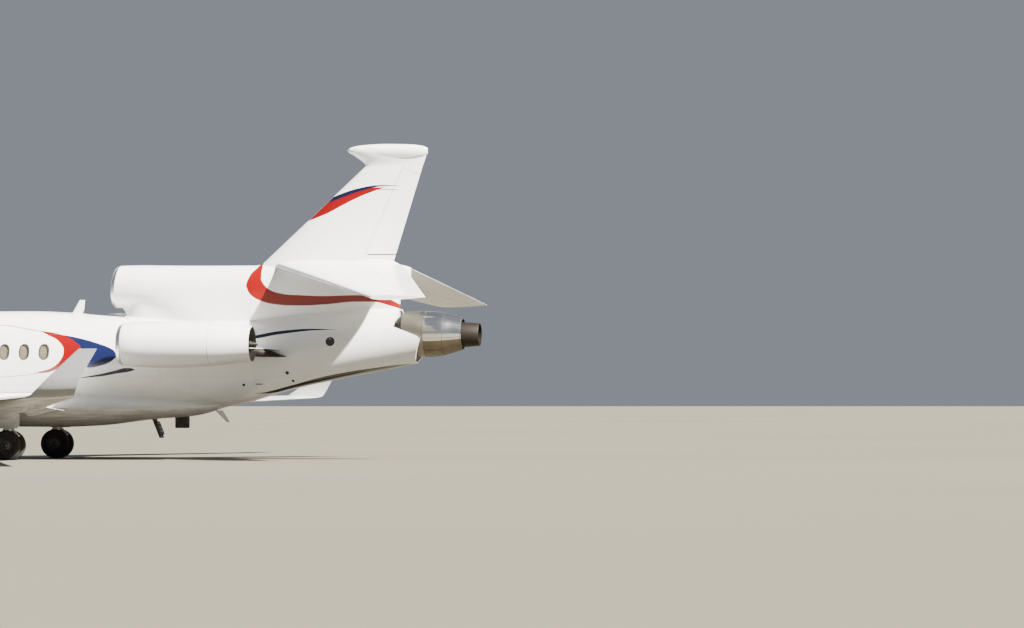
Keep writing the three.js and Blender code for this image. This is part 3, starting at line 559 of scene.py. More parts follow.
def drawn_edge(tree, share, edge, low_x, high_x, low_z, high_z):
    """The height of a drawn edge, as a share of its band's height."""
    made = add(tree, "FloatCurve", (1.0, share))
    curve = made.mapping.curves[0]
    while len(curve.points) < len(edge):
        curve.points.new(0.5, 0.5)
    for point, (x, z) in zip(curve.points, edge):
        point.location = (x - low_x) / (high_x - low_x), (z - low_z) / (high_z - low_z)
        point.handle_type = "AUTO_CLAMPED"
    made.mapping.use_clip = False
    made.mapping.update()
    return made.outputs[0]


SOFT_EDGE = 0.006  # width over which a band fades out


def band(tree, station, height, edges):
    """A mask of the band between two drawn edges."""
    (low_x, high_x), (low_z, high_z) = [(min(column), max(column)) for column in zip(*edges[0], *edges[1])]
    share = ramp(tree, station, low_x, high_x)
    rise = calc(tree, "DIVIDE", calc(tree, "SUBTRACT", height, low_z), high_z - low_z)
    upper, lower = [drawn_edge(tree, share, edge, low_x, high_x, low_z, high_z) for edge in edges]
    inside = calc(tree, "MINIMUM", calc(tree, "SUBTRACT", upper, rise), calc(tree, "SUBTRACT", rise, lower))
    reached = calc(tree, "COMPARE", station, (low_x + high_x) / 2, (high_x - low_x) / 2)
    return times(tree, times(tree, inside, (high_z - low_z) / SOFT_EDGE, clamp=True), reached)


def new_group(name, inputs, outputs):
    """An empty shader node group. A number or a colour as an input's default gives its kind."""
    tree = bpy.data.node_groups.new(name, "ShaderNodeTree")
    for way, sockets in (("INPUT", inputs), ("OUTPUT", outputs)):
        for socket, value in sockets.items():
            kind = "Color" if isinstance(value, tuple) else "Float"
            made = tree.interface.new_socket(name=socket, in_out=way, socket_type="NodeSocket" + kind)
            if way == "INPUT":
                made.default_value = value
    return tree, tree.nodes.new("NodeGroupInput").outputs, tree.nodes.new("NodeGroupOutput").inputs


def give(tree, sink, **sockets):
    for name, socket in sockets.items():
        tree.links.new(socket, sink[name])
    return tree


WHITE = (1, 1, 1, 1)
SURFACE_OUTPUTS = {"Colour": WHITE, "Roughness": 0, "Height": 0}


def weathered_and_shaded_group(name):
    """Cloudy variation, streaks, and a darkening low on the aircraft and on faces that look down: partly
    dirt, partly painted shade of the underside.
    """
    inputs = {"Colour": (0.8, 0.8, 0.8, 1), "Soil": 0.3, "Roughness": 0.25}
    tree, source, sink = new_group(name, inputs, SURFACE_OUTPUTS)
    place = add(tree, "TexCoord").outputs
    where = place["Object"]
    height = add(tree, "SeparateXYZ", (where,)).outputs["Z"]
    facing = add(tree, "SeparateXYZ", (place["Normal"],)).outputs["Z"]
    clouds = noise(tree, where, 0.9, 4.0)
    streaks = noise(tree, place_on_object(tree, (1.2, 7.0, 14.0)), 1.0, 5.0)
    drips = noise(tree, place_on_object(tree, (16.0, 6.0, 0.8)), 1.0, 4.0)
    # Darker low down and on faces that look down: dirt, and painted shade of the underside
    low = times(tree, ramp(tree, height, 2.0, 0.95), ramp(tree, facing, 0.5, -0.2, 0.1, 1.0))
    low_grime_and_shade = times(tree, low, ramp(tree, streaks, 0.3, 0.7, 0.6, 1.35))
    runs = times(tree, ramp(tree, drips, 0.58, 0.8), 0.25)
    soil_and_shade = times(tree, calc(tree, "ADD", low_grime_and_shade, runs), source["Soil"], clamp=True)
    clean = shaded(tree, source["Colour"], ramp(tree, clouds, 0.3, 0.7, 0.975, 1.02))
    soiled_and_shaded = blend(tree, soil_and_shade, clean, (0.155, 0.125, 0.09, 1), "MULTIPLY")
    dull = calc(tree, "ADD", source["Roughness"], ramp(tree, clouds, 0.3, 0.7, -0.03, 0.06))
    rough = calc(tree, "ADD", dull, times(tree, soil_and_shade, 0.5), clamp=True)
    return give(tree, sink, Colour=soiled_and_shaded, Roughness=rough, Height=noise(tree, where, 60.0, 2.0))


def seams_group(name):
    """Thin joints between skin panels, square to X every pitch, and lengthwise ones at their own pitch."""
    inputs = {"Pitch": 1.0, "Start": 0.0, "Lengthwise pitch": 1.0, "Width": 0.004}
    tree, source, sink = new_group(name, inputs, {"Mask": 0, "Rivets": 0})
    where = add(tree, "SeparateXYZ", (add(tree, "TexCoord").outputs["Object"],)).outputs
    station = calc(tree, "SUBTRACT", where["X"], source["Start"])
    lines, heads = [], []
    for value, pitch, along in ((station, "Pitch", "Z"), (where["Z"], "Lengthwise pitch", "X")):
        off = calc(tree, "PINGPONG", value, times(tree, source[pitch], 0.5))
        lines.append(calc(tree, "LESS_THAN", off, times(tree, source["Width"], 0.5)))
        row = calc(tree, "LESS_THAN", calc(tree, "ABSOLUTE", calc(tree, "SUBTRACT", off, 0.018)), 0.0028)
        dot = calc(tree, "LESS_THAN", calc(tree, "PINGPONG", where[along], 0.014), 0.0028)
        heads.append(times(tree, row, dot))
    return give(tree, sink, Mask=calc(tree, "MAXIMUM", *lines), Rivets=calc(tree, "MAXIMUM", *heads))


def brushed_group(name):
    """Fine scratches along X and larger smears, for bare metal."""
    inputs = {"Colour": (0.6, 0.6, 0.6, 1), "Roughness": 0.25, "Smears": 0.5}
    tree, source, sink = new_group(name, inputs, SURFACE_OUTPUTS)
    scratches = noise(tree, place_on_object(tree, (6.0, 150.0, 150.0)), 1.0, 2.0)
    smears = noise(tree, place_on_object(tree), 2.6, 5.0)
    amount = times(tree, ramp(tree, smears, 0.35, 0.7), source["Smears"])
    shade = calc(tree, "SUBTRACT", ramp(tree, scratches, 0.2, 0.8, 0.93, 1.07), times(tree, amount, 0.25))
    rough = calc(tree, "ADD", source["Roughness"], times(tree, amount, 0.22), clamp=True)
    return give(tree, sink, Colour=shaded(tree, source["Colour"], shade), Roughness=rough, Height=scratches)


def bands_group(name, under, colours, layers):
    """Painted bands over the colour that is given. Layers makes their masks and names their colours."""
    tree, source, sink = new_group(name, {key: WHITE for key in (under, *colours)}, {"Colour": WHITE})
    where = add(tree, "SeparateXYZ", (add(tree, "TexCoord").outputs["Object"],)).outputs
    station, height, colour = calc(tree, "SUBTRACT", where["X"], NOSE), where["Z"], source[under]
    for amount, key in layers(tree, station, height, lambda edges: band(tree, station, height, edges)):
        colour = blend(tree, amount, colour, source[key])
    return give(tree, sink, Colour=colour)


def cabin_layers(tree, station, height, mask):
    """The bands round the cabin windows and behind them."""
    return [
        (calc(tree, "MAXIMUM", mask(UPPER_PIN_LINE), mask(LOWER_PIN_LINE)), "Grey"),
        (mask(BLUE_SWEEP), "Blue"),
        (mask(NAVY_SWEEP), "Navy"),
        (band(tree, height, station, WINDOW_CRESCENT), "Red"),
    ]


def tail_layers(tree, station, height, mask):
    """The bands on the tail and the fin. The sweep is cut out by the white field above it."""
    field = times(tree, mask(TAIL_FIELD), calc(tree, "GREATER_THAN", station, TAIL_FIELD_START))
    sweep = times(tree, mask(TAIL_SWEEP), calc(tree, "SUBTRACT", 1.0, field))
    masks = [mask(edges) for edges in (TAIL_LINE, KEEL_STRIPE, FIN_RED, FIN_NAVY, FIN_LINE)]
    return list(zip([sweep] + masks, ("Red", "Navy", "Black", "Red", "Navy", "Grey")))


GROUPS = {
    "Weathered": weathered_and_shaded_group,
    "Panel seams": seams_group,
    "Brushed": brushed_group,
    "Cabin bands": lambda name: bands_group(name, "White", ("Red", "Blue", "Navy", "Grey"), cabin_layers),
    "Tail bands": lambda name: bands_group(name, "Under", ("Red", "Navy", "Grey", "Black"), tail_layers),
}


def shared_group(name):
    """A group by name, built the first time that it is asked for."""
    return bpy.data.node_groups.get(name) or GROUPS[name](name)


def use_group(tree, name, **inputs):
    made = tree.nodes.new("ShaderNodeGroup")
    made.node_tree = shared_group(name)
    for key, value in inputs.items():
        connect(tree, made.inputs[key.replace("_", " ")], value)
    return made.outputs


def surface(name, links, **uniform):
    """A material with one Principled shader. Uniform values go straight on the shader's sockets."""
    made = bpy.data.materials.new(name)
    made.use_nodes = True
    tree = made.node_tree
    for key, value in {**links(tree), **uniform}.items():
        connect(tree, tree.nodes["Principled BSDF"].inputs[key.replace("_", " ")], value)
    return made


def paint(base, roughness=0.2, soil_and_shade=0.3, coat=0.4, bands=(), pitch=0.0, lap=50.0, start=0.0):
    """Gloss paint in a colour or a setting's colour, over skin panels, with the bands on the piece."""

    def build(tree):
        sizes = bpy.context.scene.jet_paint
        colour = (*(getattr(sizes, base) if isinstance(base, str) else base), 1)
        tints = {key: getattr(sizes, key.lower()) for key in ("Red", "Blue", "Navy", "Grey", "Black")}
        for group in bands:
            names = [socket.name for socket in shared_group(group).interface.items_tree]
            inputs = {key: (*tints[key], 1) for key in names if key in tints}
            inputs["White" if "White" in names else "Under"] = colour
            colour = use_group(tree, group, **inputs)["Colour"]
        # Low skin and faces that look down are darkened here: dirt, and painted shade of the underside
        worn_and_shaded = use_group(tree, "Weathered", Colour=colour, Soil=soil_and_shade, Roughness=roughness)
        if not pitch:
            normal = bumped(tree, worn_and_shaded["Height"], 0.05, 0.0004)
            return {"Base Color": worn_and_shaded["Colour"], "Roughness": worn_and_shaded["Roughness"], "Normal": normal}
        seams = use_group(
            tree, "Panel seams", Pitch=pitch, Start=start, Lengthwise_pitch=lap, Width=sizes.seam_width
        )
        shown = blend(tree, times(tree, seams["Mask"], 0.3), worn_and_shaded["Colour"], (0.16, 0.16, 0.17, 1))
        shown = blend(tree, times(tree, seams["Rivets"], 0.12), shown, (0.3, 0.3, 0.31, 1))
        marks = calc(tree, "MAXIMUM", seams["Mask"], times(tree, seams["Rivets"], 0.3))
        height = calc(tree, "SUBTRACT", times(tree, worn_and_shaded["Height"], 0.03), marks)
        normal = bumped(tree, height, 0.5, 0.0015)
        return {"Base Color": shown, "Roughness": worn_and_shaded["Roughness"], "Normal": normal}

    return lambda name: surface(name, build, Coat_Weight=coat, Coat_Roughness=0.08)


def metal(colour, roughness, smears=0.5, bump=0.1):
    """Bare metal with fine scratches."""

    def build(tree):
        brushed = use_group(tree, "Brushed", Colour=(*colour, 1), Roughness=roughness, Smears=smears)
        normal = bumped(tree, brushed["Height"], bump, 0.0004)
        return {"Base Color": brushed["Colour"], "Roughness": brushed["Roughness"], "Normal": normal}

    return lambda name: surface(name, build, Metallic=1.0)


def plain(colour, roughness, height=None, bump=0.0, distance=0.001, **uniform):
    """A material from a plain colour or a function that builds it, and such functions for the rest."""

    def build(tree):
        made = {"Base Color": colour(tree) if callable(colour) else colour, "Roughness": roughness(tree)}
        if height:
            made["Normal"] = bumped(tree, height(tree), bump, distance)
        return made

    return lambda name: surface(name, build, **uniform)


def speckled(low, high, scale, detail=4.0, stretch=(1, 1, 1)):
    """A colour that varies between two with a noise."""

    def build(tree):
        amount = ramp(tree, noise(tree, place_on_object(tree, stretch), scale, detail), 0.3, 0.7)
        return blend(tree, amount, (*low, 1), (*high, 1))

    return build


def varied(low, high, scale):
    """A value that varies between two with a noise."""
    return lambda tree: ramp(tree, noise(tree, place_on_object(tree), scale), 0.3, 0.7, low, high)


def cells(scale):
    """The distance to the nearest point of a cell pattern, for grain and pile."""
    return lambda tree: add(
        tree, "TexVoronoi", {"Vector": place_on_object(tree), "Scale": scale}
    ).outputs["Distance"]


def slats(tree):
    """The folds of a window blind."""
    return calc(tree, "PINGPONG", add(tree, "SeparateXYZ", (place_on_object(tree),)).outputs["Z"], 0.01)


def floor_colour(tree):
    """A pale floor that throws less light up at the aircraft than it shows."""
    pale = speckled((0.105, 0.092, 0.064), (0.118, 0.104, 0.073), 0.03, 2.0)(tree)
    bounced = add(tree, "LightPath").outputs["Is Diffuse Ray"]
    return shaded(tree, pale, ramp(tree, bounced, 0.0, 1.0, 1.0, 0.45))


BLACKENED = (0.012, 0.012, 0.012)
FINISHES = {
    "fuselage_paint": paint("white", bands=("Cabin bands",), pitch=1.545, lap=1.05, start=NOSE + 1.2),
    "tail_paint": paint("white", bands=("Cabin bands", "Tail bands"), pitch=1.6, lap=1.05, start=NOSE + 0.2),
    "fin_paint": paint("white", bands=("Tail bands",)),
    "white_paint": paint("white"),
    "wing_paint": paint("white", pitch=2.2, start=NOSE + 0.4, soil_and_shade=0.55),
    "nacelle_paint": paint("white", soil_and_shade=0.2),
    # White paint darkened to grey for the winglets: painted shade of their outer faces
    "grey_paint": paint("winglet", soil_and_shade=0.3),
    "gear_paint": paint("gear", roughness=0.4, soil_and_shade=0.9, coat=0.1),
    "dark_paint": paint((0.035, 0.034, 0.033), roughness=0.5, soil_and_shade=0.6, coat=0.0),
    "polished": metal((0.78, 0.78, 0.78), 0.14, smears=0.35),
    "satin_metal": metal((0.62, 0.62, 0.62), 0.32),
    # Titanium's own dark bronze, darkened further as painted shade for the nozzle's front section under the
    # tailplane
    "titanium": metal((0.22, 0.205, 0.175), 0.4, smears=0.9),
    # Heat stain, and a painted dark reflection, for the lower half of the polished nozzle
    "stained": metal((0.17, 0.145, 0.11), 0.36, smears=1.0),
    "rim_metal": metal((0.13, 0.13, 0.13), 0.5, smears=1.0),
    "burnt": metal((0.045, 0.039, 0.033), 0.5, smears=1.0),
    "fan_metal": metal((0.32, 0.33, 0.35), 0.3),
    "chrome": metal((0.85, 0.85, 0.86), 0.06, smears=0.1, bump=0.02),
    # Exhaust deposit inside the nozzle, and flat black sheets of painted shade that stand in for openings
    "soot": plain(speckled(BLACKENED, (0.035, 0.033, 0.03), 9.0), varied(0.6, 0.9, 5.0)),
    "rubber": plain(
        speckled(BLACKENED, (0.032, 0.03, 0.028), 14.0), varied(0.7, 0.95, 20.0),
        lambda tree: noise(tree, place_on_object(tree), 300.0), bump=0.3,
    ),
    "seal": plain(speckled((0.018, 0.018, 0.018), (0.035, 0.035, 0.035), 30.0), varied(0.5, 0.7, 20.0)),
    "glass": plain(
        (0.012, 0.014, 0.016, 1), varied(0.02, 0.06, 2.0),
        Alpha=0.32, IOR=2.0, Coat_Weight=1.0, Coat_Roughness=0.02,
    ),
    "cockpit_glass": plain(
        (0.01, 0.012, 0.014, 1), varied(0.02, 0.05, 2.0), Alpha=0.6, IOR=1.9, Coat_Weight=1.0
    ),
    "blind": plain(
        speckled((0.5, 0.4, 0.25), (0.6, 0.49, 0.32), 8.0), varied(0.5, 0.7, 10.0), slats,
        bump=0.6, distance=0.002,
    ),
    "liner": plain(
        speckled((0.6, 0.56, 0.48), (0.68, 0.64, 0.56), 3.0), varied(0.5, 0.7, 6.0), cells(220.0), bump=0.15
    ),
    "leather": plain(
        speckled((0.52, 0.42, 0.29), (0.62, 0.52, 0.38), 5.0), varied(0.38, 0.6, 12.0), cells(420.0),
        bump=0.35, distance=0.0006, Sheen_Weight=0.1,
    ),
    "carpet": plain(
        speckled((0.16, 0.13, 0.1), (0.3, 0.25, 0.19), 160.0), varied(0.85, 1.0, 30.0), cells(700.0),
        bump=0.8, distance=0.003, Sheen_Weight=0.4,
    ),
    "wood": plain(
        speckled((0.1, 0.045, 0.02), (0.24, 0.12, 0.055), 3.0, 8.0, (0.7, 12.0, 12.0)),
        varied(0.15, 0.3, 4.0), Coat_Weight=0.8,
    ),
    "dark_trim": plain(
        speckled((0.02, 0.02, 0.022), (0.045, 0.045, 0.05), 20.0), varied(0.45, 0.65, 14.0),
        cells(500.0), bump=0.2,
    ),
    "screen": plain(
        speckled((0.005, 0.01, 0.02), (0.01, 0.03, 0.05), 12.0), varied(0.05, 0.1, 3.0), Coat_Weight=1.0
    ),
    "red_lens": plain(speckled((0.5, 0.01, 0.01), (0.6, 0.02, 0.02), 30.0), varied(0.05, 0.15, 9.0)),
    "green_lens": plain(speckled((0.01, 0.3, 0.06), (0.02, 0.4, 0.08), 30.0), varied(0.05, 0.15, 9.0)),
    "clear_lens": plain(
        speckled((0.6, 0.6, 0.6), (0.8, 0.8, 0.8), 30.0), varied(0.03, 0.1, 9.0), Coat_Weight=1.0
    ),
    "hose": plain(speckled((0.015, 0.015, 0.015), (0.05, 0.05, 0.05), 90.0), varied(0.4, 0.6, 20.0)),
    "floor_paint": plain(floor_colour, varied(0.8, 0.95, 0.05)),
}


def material(name):
    """A finish by name, made the first time that it is asked for."""
    return bpy.data.materials.get(name) or FINISHES[name](name)


def shell(curve, start, end, count, wall, sides=96):
    """A tube of skin with the thickness of its wall, from one station to another."""
    stations = steps(start, end, count)
    outer = [body_ring(curve, station, 0.0, sides) for station in stations]
    return loft(outer + [body_ring(curve, station, -wall, sides) for station in stations[::-1]], loop=True)


def filled(curve, start, end, count, grow=0.0, sides=96):
    """A solid body between two stations."""
    return loft([body_ring(curve, station, grow, sides) for station in steps(start, end, count)])


def prism(outline, low, high, axis="Y"):
    """A cutter: an outline in station and height pushed across the aircraft, or in y and height along it."""
    if axis == "Y":
        return loft([[at(x, y, z) for x, z in outline] for y in (low, high)])
    return loft([[at(x, y, z) for y, z in outline] for x in (low, high)])


def oval(station, height, width, tall):
    """Points round a window: an oval with fuller corners than an ellipse."""
    points = []
    for turn in turns(40):
        x, z = [math.copysign(abs(part) ** (2 / 2.3), part) / 2 for part in (math.cos(turn), math.sin(turn))]
        points.append((station + x * width, height + z * tall))
    return points


def on_wall(points, side, depth):
    """Points on the fuselage side, sunk by a depth."""
    return [at(x, side * (wall_y(x, z) - depth), z) for x, z in points]


def sheet_on_wall(outline, middle, side, outer, inner):
    """A thin sheet that follows the fuselage side between two depths, from its middle out to an outline."""
    centre = [middle] * len(outline)
    rows = ((centre, outer[0]), (outline, outer[1]), (outline, inner[1]), (centre, inner[0]))
    return loft([on_wall(points, side, depth) for points, depth in rows])


def rounded(corners, radius):
    """An outline with its corners rounded by arcs."""
    points = []
    for i, corner in enumerate(corners):
        here = Vector(corner)
        before = (Vector(corners[i - 1]) - here).normalized()
        after = (Vector(corners[(i + 1) % len(corners)]) - here).normalized()
        for share in steps(0, 1, 5):
            points.append(here + radius * (before * (1 - share) ** 2 + after * share**2))
    return [tuple(point) for point in points]


DOOR = {"from": 3.62, "to": 4.44, "sill": 1.59, "top": 3.31, "hinge": -0.945}
PANE_CORNER = 0.07
SIDE_PANES = [
    rounded([(2.23, 2.7), (2.79, 2.76), (2.79, 3.17), (2.56, 3.13)], PANE_CORNER),
    rounded([(2.87, 2.77), (3.27, 2.86), (3.24, 3.16), (2.87, 3.18)], PANE_CORNER),
]
FRONT_PANE = rounded([(0.035, 2.7), (0.69, 2.7), (0.52, 3.19), (0.035, 3.19)], PANE_CORNER)
FRONT_PANE_DEPTH = (1.6, 2.56)
BAY = {"from": 2.35, "to": 3.76, "half": 0.27, "roof": 1.62}


def pane_cutters():
    """Cutters for the cockpit panes."""
    cutters = [prism(outline, -2.0, 2.0) for outline in SIDE_PANES]
    for side in SIDES.values():
        cutters.append(prism([(side * y, z) for y, z in FRONT_PANE], *FRONT_PANE_DEPTH, axis="X"))
    return cutters


def door_opening(shrink):
    """The outline of the passenger door, shrunk for the door itself."""
    x0, x1 = DOOR["from"] + shrink, DOOR["to"] - shrink
    z0, z1 = DOOR["sill"] + shrink, DOOR["top"] - shrink
    return rounded([(x0, z0), (x1, z0), (x1, z1), (x0, z1)], 0.09)


def bay_cutter():
    return block(at(BAY["from"], -BAY["half"], 0.9), at(BAY["to"], BAY["half"], BAY["roof"]))


def rim(outer, inner, side, high, low):
    """A frame round a hole in the fuselage side, proud of the skin and reaching into the hole."""
    rows = ((outer, 0.004), (outer, -high), (inner, -high), (inner, low))
    return loft([on_wall(points, side, depth) for points, depth in rows], loop=True)


def inner_face(curve, grow=0.0, limit=1.0):
    """Tells whether a point lies inside a body's curve, grown by an amount."""

    def test(centre):
        top, bottom, half, widest = curve(centre.x - NOSE)
        rise = (top - widest if centre.z > widest else widest - bottom) + grow
        return (centre.y / (half + grow)) ** 2 + ((centre.z - widest) / rise) ** 2 < limit

    return test


def soft_largest(a, b, width):
    """The larger of two lengths, with the corner between them rounded."""
    return (a + b + math.sqrt((a - b) ** 2 + width * width)) / 2


def seated_ring(station, low, high, half, soft):
    """A section on the fuselage that runs softly into its skin. Half gives its own half width at a height."""
    crown = skin(station)[0]
    meets = min(steps(crown - 0.3, crown, 60), key=lambda z: abs(wall_y(station, z) - half(z)))
    rows = []
    for z in steps(low, high, 34):
        fillet = soft * math.exp(-abs(z - meets) / 0.07) + 0.0001
        rows.append((soft_largest(half(z), wall_y(station, z), fillet) - 0.002, z))
    return [at(station, y, z) for y, z in rows] + [at(station, -y, z) for y, z in rows[::-1]]


FAIRING_CURVE = smooth_curve(FAIRING)


class JET_OT_nose(bpy.types.Operator):
    """Builds the radome and the front fuselage, with its cockpit panes cut"""

    bl_idname = "jet.nose"
    bl_label = "Nose"

    def execute(self, context):
        stations = [RADOME_END * share**2 for share in steps(0, 1, 22)]
        radome = loft([[at(0, 0, 1.93)] * 96] + [body_ring(skin, station) for station in stations])
        finish_piece("radome_skin", radome, "fuselage_paint", ["radome"])
        front = shell(skin, RADOME_END + SEAT, FRONT_END, 40, 0.06, sides=128)
        front = with_material(front, 1, inner_face(skin, -0.03))
        for cutter in pane_cutters() + [bay_cutter()]:
            front = boolean(front, cutter)
        finish_piece("front_fuselage_skin", front, "fuselage_paint liner", ["front_fuselage"])
        finish_piece("front_bulkhead", filled(skin, 1.42, 1.48, 1, -0.061), "liner")
        panes = shell(skin, 1.55, 3.34, 40, 0.02, sides=128)
        pieces = [boolean(panes.copy(), cutter, "INTERSECT") for cutter in pane_cutters()]
        panes.free()
        glass = moved(joined(*pieces), scale=(1, 0.994, 1))
        finish_piece("cockpit_panes", glass, "cockpit_glass", ["windshield"])
        strips = []
        for corners in SIDE_PANES:
            pairs = zip(corners, corners[1:] + corners[:1])
            inner = [tuple(Vector(a).lerp(Vector(b), s)) for a, b in pairs for s in steps(0, 1, 6)[:-1]]
            middle = Vector([sum(column) for column in zip(*inner)]) / len(inner)
            outer = [tuple(Vector(p) + 0.02 * (Vector(p) - middle).normalized()) for p in inner]
            strips += [rim(outer, inner, side, 0.0015, 0.02) for side in SIDES.values()]
        finish_piece("pane_seals", strips, "seal")
        return {"FINISHED"}


class JET_OT_cabin(bpy.types.Operator):
    """Builds the entry and cabin sections with their windows, frames and blinds"""

    bl_idname = "jet.cabin"
    bl_label = "Cabin"

    def execute(self, context):
        entry = shell(skin, FRONT_END + SEAT, ENTRY_END, 16, WALL)
        entry = with_material(entry, 2, inner_face(skin, -WALL / 2))
        for cutter in (prism(door_opening(0), -2.0, -0.5), bay_cutter()):
            entry = boolean(entry, cutter)
        lugs, hinge, sill = [], DOOR["hinge"], DOOR["sill"]
        for end, way in ((DOOR["from"], -1), (DOOR["to"], 1)):
            low = at(end + way * 0.004, hinge - 0.014, sill - 0.014)
            lugs.append(block(low, at(end + way * 0.06, -0.88, sill + 0.05), 0.004))
            lugs.append(rod(*[at(end + way * off, hinge, sill) for off in (0.03, -0.06)], 0.0075))
        entry, materials = [entry, with_material(joined(*lugs), 1)], "fuselage_paint satin_metal liner"
        finish_piece("entry_skin", entry, materials, ["entry_section"])
        body = context.scene.jet_body
        height, width, tall = body.window_height, body.window_width, body.window_tall
        holes, frames, panes, blinds = [], [], [], []
        for i in range(body.window_count):
            station = body.window_last - i * body.window_pitch
            outline = oval(station, height, width, tall)
            outer, inner = [oval(station, height, width + grow, tall + grow) for grow in (0.03, -0.018)]
            drawn = body.blinds[i % len(body.blinds)] if i > 2 else 1.0
            cover = [(x, max(z, height + tall * (0.5 - drawn))) for x, z in inner]
            centre = (station, height + tall * (0.5 - drawn / 2))
            for side in SIDES.values():
                holes.append(prism(outline, *sorted((side * 0.9, side * 1.5))))
                frames.append(rim(outer, inner, side, 0.003, 0.06))
                panes.append(sheet_on_wall(inner, (station, height), side, (0.008, 0.01), (0.012, 0.014)))
                blinds.append(sheet_on_wall(cover, centre, side, (0.03, 0.03), (0.036, 0.036)))
        cabin = shell(skin, ENTRY_END + SEAT, CABIN_END, 32, WALL)
        cabin = boolean(with_material(cabin, 1, inner_face(skin, -WALL / 2)), joined(*holes))
        finish_piece("cabin_skin", cabin, "fuselage_paint liner", ["cabin_section"])
        finish_piece("window_frames", frames, "titanium")
        finish_piece("window_panes", panes, "glass")
        finish_piece("window_blinds", blinds, "blind")
        return {"FINISHED"}


class JET_OT_rear_fuselage(bpy.types.Operator):
    """Builds the tail cone of the fuselage, cut open round the centre engine's nozzle"""

    bl_idname = "jet.rear_fuselage"
    bl_label = "Rear fuselage"

    def execute(self, context):
        rear = shell(skin, CABIN_END + SEAT, REAR_END, 70, REAR_WALL)
        end = 24.0
        upper = [(21.43, 4.0), (21.38, 3.78), (21.29, 3.33), (21.87, 3.11), (22.0, 2.99)]
        upper += [(end, 2.99), (end, 4.0)]
        lower = [(21.975, 3.05), (21.76, 2.4), (21.7, 2.1), (end, 2.1), (end, 3.05)]
        for outline in (upper, lower):
            rear = boolean(rear, prism(outline, -0.9, 0.9))
        bulkhead = filled(skin, CABIN_END + SEAT, CABIN_END + 0.1, 1, -REAR_WALL)
        finish_piece("rear_skin", [rear, bulkhead], "tail_paint", ["rear_fuselage"])
        return {"FINISHED"}


def fairing_section(station):
    """A section of the wing fairing that hugs the fuselage and runs into its skin in a soft curve."""
    start, end = FAIRING[0][0], FAIRING[-1][0]
    skin_bottom = skin(station)[1]
    tuck = max(0.0, 1 - (end - station) / 1.3) ** 2
    gone = (skin_bottom + 0.12, skin_bottom + 0.012, 0.3, skin_bottom + 0.08)
    top, bottom, half, widest = [a + (b - a) * tuck for a, b in zip(FAIRING_CURVE(station), gone)]
    crest = top + 0.24 * (1 - tuck)
    fade = min(1.0, (station - start) / 0.8, (end - station) / 1.3)
    outer = [(0.0, bottom)]
    for share in steps(0, 1, 40)[1:]:
        z = bottom + (crest - bottom) * (1 - math.cos(math.pi / 2 * share)) ** 0.9
        rise = (z - widest) / (top - widest if z > widest else widest - bottom)
        own = half * math.sqrt(max(0.0, 1 - rise * rise))
        wall, soft = 0.0, 0.0
        if z > skin_bottom:
            wall, soft = wall_y(station, z), 0.16 * fade * (1 - max(0.0, (z - widest) / (crest - widest)))
        outer.append((max(0.0, soft_largest(own, wall, soft)) + 0.0006, z))
    inner = []
    for share in steps(1, 0, 16)[:-1]:
        z = skin_bottom + 0.03 + (crest - skin_bottom - 0.03) * share
        inner.append((max(0.0, wall_y(station, z) - 0.012), z))
    inner.append((0.0, max(bottom, skin_bottom) + 0.03))
    other = [(-y, z) for y, z in inner[-2::-1]] + [(-y, z) for y, z in outer[:0:-1]]
    return [at(station, y, z) for y, z in outer + inner + other]


class JET_OT_belly(bpy.types.Operator):
    """Builds the wing-to-body fairing, open at its access hatch"""

    bl_idname = "jet.belly"
    bl_label = "Belly"

    def execute(self, context):
        hatch = context.scene.jet_belly
        low = at(hatch.hatch_from, -hatch.hatch_half, 0.7)
        high = at(hatch.hatch_to, hatch.hatch_half, hatch.hatch_roof)
        stations = steps(FAIRING[0][0], FAIRING[-1][0], 90)
        fairing = boolean(loft([fairing_section(station) for station in stations]), block(low, high))
        finish_piece("fairing_skin", fairing, "wing_paint", ["belly_fairing"])
        return {"FINISHED"}


def between(rows, key):
    """The row at a value of the first column, on straight lines between rows."""
    i = min(max(bisect.bisect([row[0] for row in rows], key) - 1, 0), len(rows) - 2)
    a, b = rows[i], rows[i + 1]
    share = (key - a[0]) / (b[0] - a[0])
    return [p + (q - p) * share for p, q in zip(a, b)]


def half_thickness(share, chord, ratio):
    """Half the thickness of a symmetric aerofoil at a share of its chord."""
    share = min(max(share, 0.0), 1.0)
    front = 0.2969 * math.sqrt(share) - 0.126 * share
    return 5 * ratio * chord * (front - 0.3516 * share**2 + 0.2843 * share**3 - 0.1015 * share**4)


CHORD_SHARES = [(1 - math.cos(math.pi * share)) / 2 for share in steps(0, 1, 30)]


def aerofoil_ring(row):
    """A section of a blade that lies flat, with its thickness across its lean."""
    span, nose, tail, height, ratio, lean = row
    lean = math.radians(lean)
    ring = []
    for share, side in [(s, 1) for s in CHORD_SHARES] + [(s, -1) for s in CHORD_SHARES[-1:0:-1]]:
        off = side * half_thickness(share, tail - nose, ratio)
        y, z = span - off * math.sin(lean), height + off * math.cos(lean)
        ring.append(at(nose + share * (tail - nose), y, z))
    return ring


def blade(rows, parts=8):
    """A closed blade through the rows, straight between them."""
    spans = [a[0] + (b[0] - a[0]) * i / parts for a, b in zip(rows, rows[1:]) for i in range(parts)]
    return loft([aerofoil_ring(between(rows, span)) for span in spans + [rows[-1][0]]])


def chord_share(rows, point):
    """How far back on its blade a point lies, from 0 at the leading edge to 1."""
    _, nose, tail, *_ = between(rows, point.y)
    return (point.x - NOSE - nose) / (tail - nose)


def thickness_at(rows, point):
    """Half the thickness of a blade above or below a point."""
    _, nose, tail, _, ratio, _ = between(rows, point.y)
    return half_thickness((point.x - NOSE - nose) / (tail - nose), tail - nose, ratio)


